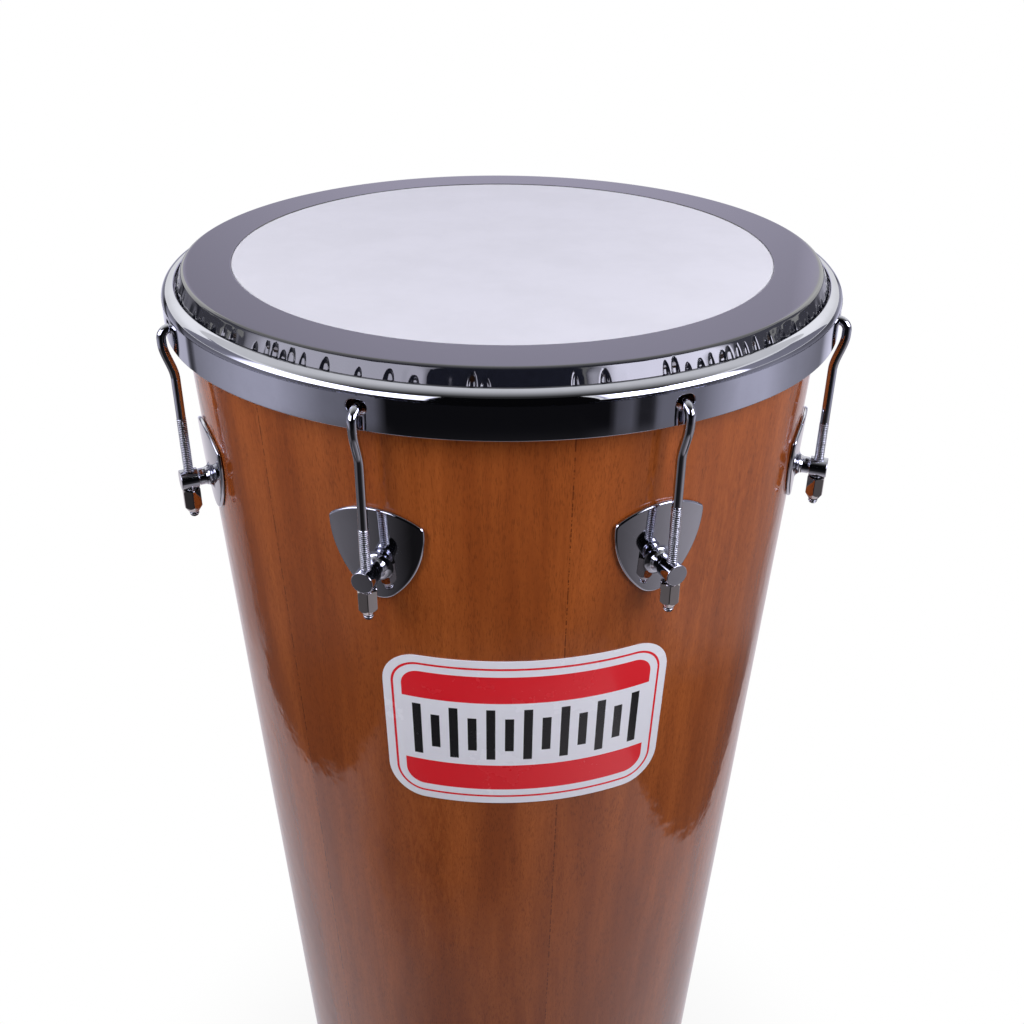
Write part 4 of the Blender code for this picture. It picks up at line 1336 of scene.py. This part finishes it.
def nut_mesh(look):
    """A long hexagon nut: cone-cut ends, eased corners and a plain bore."""
    bottom, top = NUT_LOW.z - LUG_Z, NUT_HIGH.z - LUG_Z
    corner = look.nut_flats / 2 / math.cos(math.pi / 6)
    turns = [math.tau * i / 6 + look.nut_turn for i in range(6)]
    hexagon = soft_outline([(corner * math.cos(a), corner * math.sin(a), 0.0005)
                            for a in turns])
    corner_points = len(hexagon) // 6
    spread = []
    for i, point in enumerate(hexagon):
        spread.append(Vector((*point, 0.0)))
        if i % corner_points == corner_points - 1:
            ahead = Vector((*hexagon[(i + 1) % len(hexagon)], 0.0))
            spread += [spread[-1].lerp(ahead, t / 8) for t in range(1, 8)]

    def ring(radius, z):
        return [point * (radius / point.length) + UP * z for point in spread]

    def prism(level, seat, slope):
        """The hexagon's edge where a cone cuts it."""
        return [point + UP * (level + max(0.0, point.length - seat) * slope)
                for point in spread]

    low_seat, low_slope = 0.0032, math.tan(math.radians(58.0))
    high_seat, high_slope = 0.0043, math.tan(math.radians(30.0))
    bore = ROD_HOLE_RADIUS
    return loft([
        ring(bore, bottom + 0.0005), ring(bore + 0.0004, bottom), ring(low_seat, bottom),
        prism(bottom, low_seat, low_slope), prism(top, high_seat, -high_slope),
        ring(high_seat, top), ring(bore + 0.0003, top), ring(bore, top - 0.0003),
    ], "nut_body", HARD_EDGE, ring=True)


class DRUM_OT_nuts(bpy.types.Operator):
    """Build the eight long tuning nuts"""

    bl_idname = "drum.nuts"
    bl_label = "Nuts"

    def execute(self, context):
        add_at_stations("nut_body", nut_mesh(context.scene.drum_lug), metal("nickel"),
                        "nut", "nut")
        return {"FINISHED"}


def plate_face_x(look):
    """Outer face of the boss, where the post sits."""
    wall = shell_radius(LUG_Z) - ROD_AXIS
    return wall + SEAT_GAP + PLATE_THICKNESS + look.boss_height


def post_mesh(look):
    """The turned post: collar and groove behind, flat nose in front."""
    rear, front = plate_face_x(look) + SEAT_GAP, ROD_HOLE_RADIUS + 0.0023
    neck, waist, bore = POST_RADIUS - 0.0009, POST_RADIUS - 0.0013, BOLT_HOLE_RADIUS
    axis = 0.0010
    side = soft_outline([
        (rear, bore, 0.0), (rear, neck + 0.0005, 0.0), (rear + 0.0007, neck + 0.0001, 0.0003),
        (rear + 0.0020, neck, 0.0005), (rear + 0.0040, neck, 0.0001),
        (rear + 0.0042, waist, 0.0001), (rear + 0.0046, waist, 0.0001),
        (rear + 0.0048, POST_RADIUS, 0.0002), (front, POST_RADIUS, 0.0004),
        (front, axis, 0.0), (BOLT_END, axis, 0.0), (BOLT_END, bore, 0.0),
    ])
    side = [(BOLT_END, axis), side[-1], *side[:-2]]
    body = loft(turn_level(side, 64), "lug_post_turned")
    hole = loft([circle(UP * z, UP, ROD_HOLE_RADIUS, 48)
                 for z in (-2 * POST_RADIUS, 2 * POST_RADIUS)], "cross_hole")
    return cut(body, [hole])


class DRUM_OT_posts(bpy.types.Operator):
    """Build the eight turned lug posts"""

    bl_idname = "drum.posts"
    bl_label = "Posts"

    def execute(self, context):
        add_at_stations("lug_post_turned", post_mesh(context.scene.drum_lug),
                        metal("chrome"), "lug_post")
        return {"FINISHED"}


def bowed_side(start, end, bow):
    """Centre and radius of the circle through a side's ends, bowed outward."""
    chord = end - start
    radius = ((chord.length / 2) ** 2 + bow ** 2) / (2 * bow)
    outward = Vector((chord.y, -chord.x)).normalized()
    return (start + end) / 2 + outward * (bow - radius), radius


def corner_centre(first, second, corner, rounding):
    """Centre of a corner's rounding, inside both neighbouring circles."""
    (c1, r1), (c2, r2) = first, second
    d1, d2 = r1 - rounding, r2 - rounding
    line = c2 - c1
    along = (line.length ** 2 + d1 ** 2 - d2 ** 2) / (2 * line.length)
    base = c1 + line * (along / line.length)
    across = Vector((-line.y, line.x)).normalized() * math.sqrt(max(0.0, d1 ** 2 - along ** 2))
    return min((base + across, base - across), key=lambda point: (point - corner).length)


def plate_outline(look, inset):
    """The plate's rounded triangle, point down, as (y, z) round the post."""
    half = look.plate_width / 2
    corners = [Vector((0.0, -look.plate_drop)), Vector((half, look.plate_rise)),
               Vector((-half, look.plate_rise))]
    bows = (look.side_bow, look.top_bow, look.side_bow)
    rounds = (look.point_round, look.corner_round, look.corner_round)
    sides = [bowed_side(corners[i], corners[(i + 1) % 3], bows[i]) for i in range(3)]
    centres = [corner_centre(sides[i - 1], sides[i], corners[i], rounds[i])
               for i in range(3)]
    points = []
    for i in range(3):
        centre, radius = sides[i]
        first, last, onward = (centres[i] - sides[i - 1][0], centres[i] - centre,
                               centres[(i + 1) % 3] - centre)
        start = math.atan2(first.y, first.x)
        begin = start + (math.atan2(last.y, last.x) - start) % math.tau
        end = begin + (math.atan2(onward.y, onward.x) - begin) % math.tau
        points += arc(*centres[i], rounds[i] - inset, start, begin, 8)
        points += arc(*centre, radius - inset, begin, end, 18)[1:-1]
    return [Vector(point) for point in points]


def on_shell(y, z, lift):
    """A point at a distance along the shell's side and a lift above it."""
    radius = shell_radius(LUG_Z + z) + lift
    azimuth = y / shell_radius(LUG_Z)
    return Vector((radius * math.cos(azimuth) - ROD_AXIS, radius * math.sin(azimuth), z))


def plate_mesh(look):
    """The cast plate: rolled edge, polished face and a flared boss."""
    back, front, roll = SEAT_GAP, SEAT_GAP + PLATE_THICKNESS, 0.0012
    outer, rim = plate_outline(look, 0.0), plate_outline(look, roll)
    angles = [math.atan2(point.y, point.x) for point in outer]

    def around(radius):
        return [Vector((radius * math.cos(a), radius * math.sin(a))) for a in angles]

    def lay(points, lift):
        return [on_shell(p.x, p.y, lift) for p in points]

    loops = [lay(around(BOLT_HOLE_RADIUS), back), lay(around(look.boss_radius), back),
             lay(plate_outline(look, 0.0004), back), lay(outer, back + 0.0004)]
    loops += [lay(plate_outline(look, inset), front - down) for down, inset in quarter(roll, 4)]
    loops += [lay([a.lerp(b, t) for a, b in zip(rim, around(look.boss_radius))], front)
              for t in (0.3, 0.6, 0.85)]
    top, last, face = POST_RADIUS - 0.0004, math.radians(68.0), plate_face_x(look)
    for angle in (last * i / 8 for i in range(9)):
        radius = look.boss_radius - (look.boss_radius - top) * math.sin(angle) / math.sin(last)
        rise = (1.0 - math.cos(angle)) / (1.0 - math.cos(last))
        loop = lay(around(radius), front)
        for point in loop:
            point.x += (face - point.x) * rise
        loops.append(loop)
    loops.append([Vector((face, p.x, p.y)) for p in around(BOLT_HOLE_RADIUS)])
    return loft(loops, "lug_plate_cast", ring=True)


class DRUM_OT_plates(bpy.types.Operator):
    """Build the eight cast lug plates"""

    bl_idname = "drum.plates"
    bl_label = "Plates"

    def execute(self, context):
        add_at_stations("lug_plate_cast", plate_mesh(context.scene.drum_lug),
                        metal("chrome"), "lug_plate")
        return {"FINISHED"}


def washer_seat_x():
    """Outer face of the washer, against the shell's inner side."""
    return shell_radius(LUG_Z) - SHELL_WALL - ROD_AXIS - SEAT_GAP


def washer_mesh():
    """A washer with eased rims, tilted to lie along the tapered wall."""
    outer_face = washer_seat_x()
    inner_face, rim = outer_face - WASHER_THICKNESS, 0.0070
    outline = soft_outline([
        (inner_face, BOLT_HOLE_RADIUS, 0.0002), (inner_face, rim, 0.0004),
        (outer_face, rim, 0.0002), (outer_face, BOLT_HOLE_RADIUS, 0.0002),
    ], 3)
    loops = turn_level(outline, 48)
    for loop in loops:
        for point in loop:
            point.x += point.z * TAPER
    return loft(loops, "lug_washer_eased", ring=True)


class DRUM_OT_washers(bpy.types.Operator):
    """Build the eight washers inside the shell"""

    bl_idname = "drum.washers"
    bl_label = "Washers"

    def execute(self, context):
        add_at_stations("lug_washer_eased", washer_mesh(), metal("zinc"),
                        "lug_washer")
        return {"FINISHED"}


def bolt_mesh():
    """A round-headed bolt with a cross recess, threaded into the post."""
    head, crown_rise, shank, steps = 0.0045, 0.0030, 0.0025, 8
    seat = washer_seat_x() - WASHER_THICKNESS - SEAT_GAP - head * TAPER
    end = BOLT_END - SEAT_GAP
    crown = [(seat - crown_rise * (0.25 + 0.75 * math.cos(a)), head * math.sin(a))
             for a in (math.pi / 2 * i / steps for i in range(1, steps + 1))]
    outline = crown + [(seat, head), (seat, shank), (end + 0.0004, shank),
                       (end, shank - 0.0004)]
    body = loft(turn_level(outline, 40), "lug_bolt_crossed")
    arm, reach = 0.0005, 0.0022
    cutters = []
    for wide, tall in ((reach, arm), (arm, reach)):
        corners = [(-wide, -tall), (wide, -tall), (wide, tall), (-wide, tall)]
        bottom = [Vector((seat - 0.0012, y * 0.6, z * 0.6)) for y, z in corners]
        mouth = [Vector((seat - crown_rise - 0.001, y, z)) for y, z in corners]
        cutters.append(loft([bottom, mouth], "cross"))
    return cut(body, cutters)


class DRUM_OT_bolts(bpy.types.Operator):
    """Build the eight bolts that hold the posts"""

    bl_idname = "drum.bolts"
    bl_label = "Bolts"

    def execute(self, context):
        add_at_stations("lug_bolt_crossed", bolt_mesh(), metal("zinc"),
                        "lug_bolt")
        return {"FINISHED"}


# The stage


def seen_white(shading):
    """1 for the rays by which eye, gloss and glass see the background."""
    path = shading.node("ShaderNodeLightPath")
    return combine("ADD", path["Is Camera Ray"] + path["Is Glossy Ray"],
                   path["Is Transmission Ray"], clamp=True)


def make_world(look):
    world = bpy.data.worlds.new("soft_white")
    bpy.context.scene.world = world
    world.use_nodes = True
    shading = Shading(world.node_tree)
    shading.feed(world.node_tree.nodes["Background"], Color=PLAIN_WHITE,
                 Strength=combine("MAXIMUM", seen_white(shading), look.sky_level))


def make_floor(look):
    """A pale floor that keeps the drum's shadow, whitens outward and is clear from below."""
    material, shading = new_bare_material("floor_pale")
    matte = shading.node("ShaderNodeBsdfDiffuse", Color=look.floor_color)["BSDF"]
    glow = shading.node("ShaderNodeEmission", Color=PLAIN_WHITE, Strength=1.0)["Emission"]
    _, _, radius = shading.around()
    whiteness = shading.ramp(radius, 0.16, 0.42, 0.84, 1.0)
    top = shading.mix_shaders(seen_white(shading) * whiteness, matte, glow)
    below = shading.node("ShaderNodeNewGeometry")["Backfacing"]
    clear = shading.node("ShaderNodeBsdfTransparent")["BSDF"]
    shading.surface(shading.mix_shaders(below, top, clear))
    half = 12.0
    corners = [(-half, -half, 0.0), (half, -half, 0.0), (half, half, 0.0), (-half, half, 0.0)]
    floor = make_sheet("floor", corners, [(0, 1, 2, 3)], material)


def make_lamp(name, azimuth, elevation, level):
    """A square softbox aimed at the drum, bright enough for a level of light."""
    distance, size, aim_z = 0.82, 0.55, 0.86
    lamp = bpy.data.lights.new(name, "AREA")
    lamp.shape = "SQUARE"
    lamp.size = size
    lamp.energy = level * math.pi * math.pi * distance ** 2
    item = link(name, lamp)
    back = azimuth_point(azimuth, math.cos(elevation), math.sin(elevation))
    item.location = UP * aim_z + back * distance
    item.rotation_mode = "QUATERNION"
    item.rotation_quaternion = back.to_track_quat("Z", "Y")
    item.visible_glossy = False
    item.visible_camera = False


def make_sheet(name, points, faces, material):
    mesh = bpy.data.meshes.new(name)
    mesh.from_pydata(points, [], faces)
    mesh.materials.append(material)
    return link(name, mesh)


def hang_card(material, shading, points, faces, strength, color=PLAIN_WHITE):
    """Put up a glowing card that only metal, varnish and vinyl see."""
    shading.surface(shading.node("ShaderNodeEmission", Color=color,
                                 Strength=strength)["Emission"])
    card = make_sheet(material.name, points, faces, material)
    card.visible_camera = False
    card.visible_diffuse = False
    card.visible_shadow = False
    card.visible_transmission = False


def arc_points(start, end, distance, low, high, steps):
    """Two rows of points on an arc round the drum, and the faces between them."""
    points = [azimuth_point(math.radians(start + (end - start) * i / steps), distance, z)
              for z in (low, high) for i in range(steps + 1)]
    return points, [(i, i + 1, steps + 2 + i, steps + 1 + i) for i in range(steps)]


def tone_by_azimuth(shading, azimuth, tones):
    """Read a tone from a table of (azimuth in degrees, tone)."""
    tone_value = shading.wire("ShaderNodeValToRGB", (azimuth / math.tau + 0.5,))
    stops = tone_value.socket.node.color_ramp.elements
    stops[0].position, stops[1].position = 0.0, 1.0
    for degrees, tone in tones:
        place = degrees / 360 + 0.5
        if place <= 0.0:
            stop = stops[0]
        elif place >= 1.0:
            stop = stops[len(stops) - 1]
        else:
            stop = stops.new(place)
        stop.color = (tone, tone, tone, 1.0)
    return tone_value


def make_softbox_card(name, strength, tones):
    """The bright front of a softbox, bent round the drum, with soft ends."""
    distance, low, high = 1.7, 1.06, 1.95
    material, shading = new_bare_material(name)
    azimuth, _, _ = shading.around()
    tone = tone_by_azimuth(shading, azimuth, tones)
    points, faces = arc_points(tones[0][0], tones[-1][0], distance, low, high, 36)
    hang_card(material, shading, points, faces, tone * strength, SOFTBOX_TINT)


def make_backdrop():
    """The pale cloth behind the drum that the head's ring mirrors, with white wings."""
    distance, low, high = 1.6, 0.97, 1.80
    material, shading = new_bare_material("studio_backdrop")
    azimuth, height, _ = shading.around()
    tone = tone_by_azimuth(shading, azimuth, BACKDROP_TONES)
    color = shading.mix(shading.ramp(tone, 0.85, 1.10), BACKDROP_TINT, PLAIN_WHITE)
    level = shading.ramp(height, 1.15, 1.70, 0.74, 0.98)
    points, faces = arc_points(118, 242, distance, low, high, 48)
    hang_card(material, shading, points, faces, tone * level, color)


def make_studio_walls():
    """The studio as the gloss sees it: a pale sheet on the floor, dark front, grey sides."""
    material, shading = new_bare_material("studio_walls")
    azimuth, height, radius = shading.around()
    x, y, _ = shading.node("ShaderNodeSeparateXYZ", Vector=shading.place()).values()
    near, paper, bare, far, wall = (
        tone_by_azimuth(shading, azimuth, tones) for tones in
        (NEAR_PAPER_TONES, PAPER_TONES, BARE_FLOOR_TONES, FAR_FLOOR_TONES, WALL_TONES))
    right = combine("MAXIMUM", y - 0.2, 0.0) * -0.28 + x
    left = combine("MAXIMUM", shading.ramp(y * 0.15 + x, *SHEET_LEFT),
                   shading.ramp(y, *SHEET_BACK))
    tone = shading.mix(shading.ramp(radius, 0.44, 0.62), near, paper)
    tone = shading.mix(left * shading.ramp(right, *SHEET_RIGHT), bare, tone)
    tone = shading.mix(shading.ramp(radius, 0.86, 1.06), tone, far)
    upright = shading.ramp(height, 0.35, 0.42)
    tone = shading.mix(upright, tone, wall) * shading.ramp(height, 0.55, 0.85, 1.0, 0.45)
    steps, front_half = 180, 24
    distance, low, side_top, front_top = 1.15, 0.003, 0.97, 1.80
    turns = [360 * i / steps for i in range(steps)]
    points = [azimuth_point(math.radians(turn), reach, low)
              for reach in (0.150, 0.62, distance) for turn in turns]
    for turn in turns:
        in_front = abs((turn + 180) % 360 - 180) < front_half
        points.append(azimuth_point(math.radians(turn), distance,
                                    front_top if in_front else side_top))
    faces = [(k + i, k + (i + 1) % steps, k + steps + (i + 1) % steps, k + steps + i)
             for k in (0, steps, 2 * steps) for i in range(steps)]
    hang_card(material, shading, points, faces, tone,
              shading.mix(upright, FLOOR_TINT, WALL_TINT))

    material, shading = new_bare_material("studio_ceiling")
    _, y, _ = shading.node("ShaderNodeSeparateXYZ", Vector=shading.place()).values()
    side, far = 1.2, 1.75
    corners = [(-side, -distance, front_top), (side, -distance, front_top),
               (side, far, front_top), (-side, far, front_top)]
    hang_card(material, shading, corners, [(0, 1, 2, 3)],
              shading.ramp(y, -0.92, 0.35, 0.03, 0.80))


def make_camera(look):
    data = bpy.data.cameras.new("camera")
    data.lens = look.lens
    data.sensor_width = 36.0
    data.shift_y = look.shift
    camera = link("camera", data)
    spot = azimuth_point(-look.azimuth, look.distance, HEAD_TOP + look.height)
    camera.matrix_world = (Matrix.Translation(spot)
                           @ Matrix.Rotation(-look.heading, 4, "Z")
                           @ Matrix.Rotation(math.pi / 2 - look.pitch, 4, "X")
                           @ Matrix.Rotation(look.roll, 4, "Z"))
    bpy.context.scene.camera = camera


class DRUM_OT_stage(bpy.types.Operator):
    """Set up the floor, the soft light, the cards and the camera"""

    bl_idname = "drum.stage"
    bl_label = "Stage"

    def execute(self, context):
        look = context.scene.drum_stage
        context.scene.view_settings.view_transform = "Standard"
        make_world(look)
        make_floor(look)
        for name, azimuth, elevation, level in LAMPS:
            make_lamp(name, math.radians(azimuth), math.radians(elevation),
                      getattr(look, level))
        make_studio_walls()
        make_backdrop()
        for name, strength, tones in SOFTBOXES:
            make_softbox_card(name, strength, tones)
        make_camera(look)
        return {"FINISHED"}


OPERATORS = (
    DRUM_OT_stage, DRUM_OT_shell, DRUM_OT_lining_rings, DRUM_OT_foot, DRUM_OT_label,
    DRUM_OT_head, DRUM_OT_flesh_hoop, DRUM_OT_counterhoop, DRUM_OT_hooks, DRUM_OT_nuts,
    DRUM_OT_posts, DRUM_OT_plates, DRUM_OT_washers, DRUM_OT_bolts,
)


class DRUM_PT_pieces(bpy.types.Panel):
    """Lists the drum's pieces"""

    bl_label = "Timbal Drum"
    bl_idname = "DRUM_PT_pieces"
    bl_space_type = "VIEW_3D"
    bl_region_type = "UI"
    bl_category = "Timbal"

    def draw(self, context):
        for operator in OPERATORS:
            self.layout.operator(operator.bl_idname)


def register():
    for name, look in LOOKS.items():
        bpy.utils.register_class(look)
        setattr(bpy.types.Scene, name, PointerProperty(type=look))
    for item in (*OPERATORS, DRUM_PT_pieces):
        bpy.utils.register_class(item)


def unregister():
    for item in (DRUM_PT_pieces, *reversed(OPERATORS)):
        bpy.utils.unregister_class(item)
    for name, look in LOOKS.items():
        delattr(bpy.types.Scene, name)
        bpy.utils.unregister_class(look)


def main():
    register()
    build_groups()
    for operator in OPERATORS:
        family, action = operator.bl_idname.split(".")
        getattr(getattr(bpy.ops, family), action)()


if __name__ == "__main__":
    main()
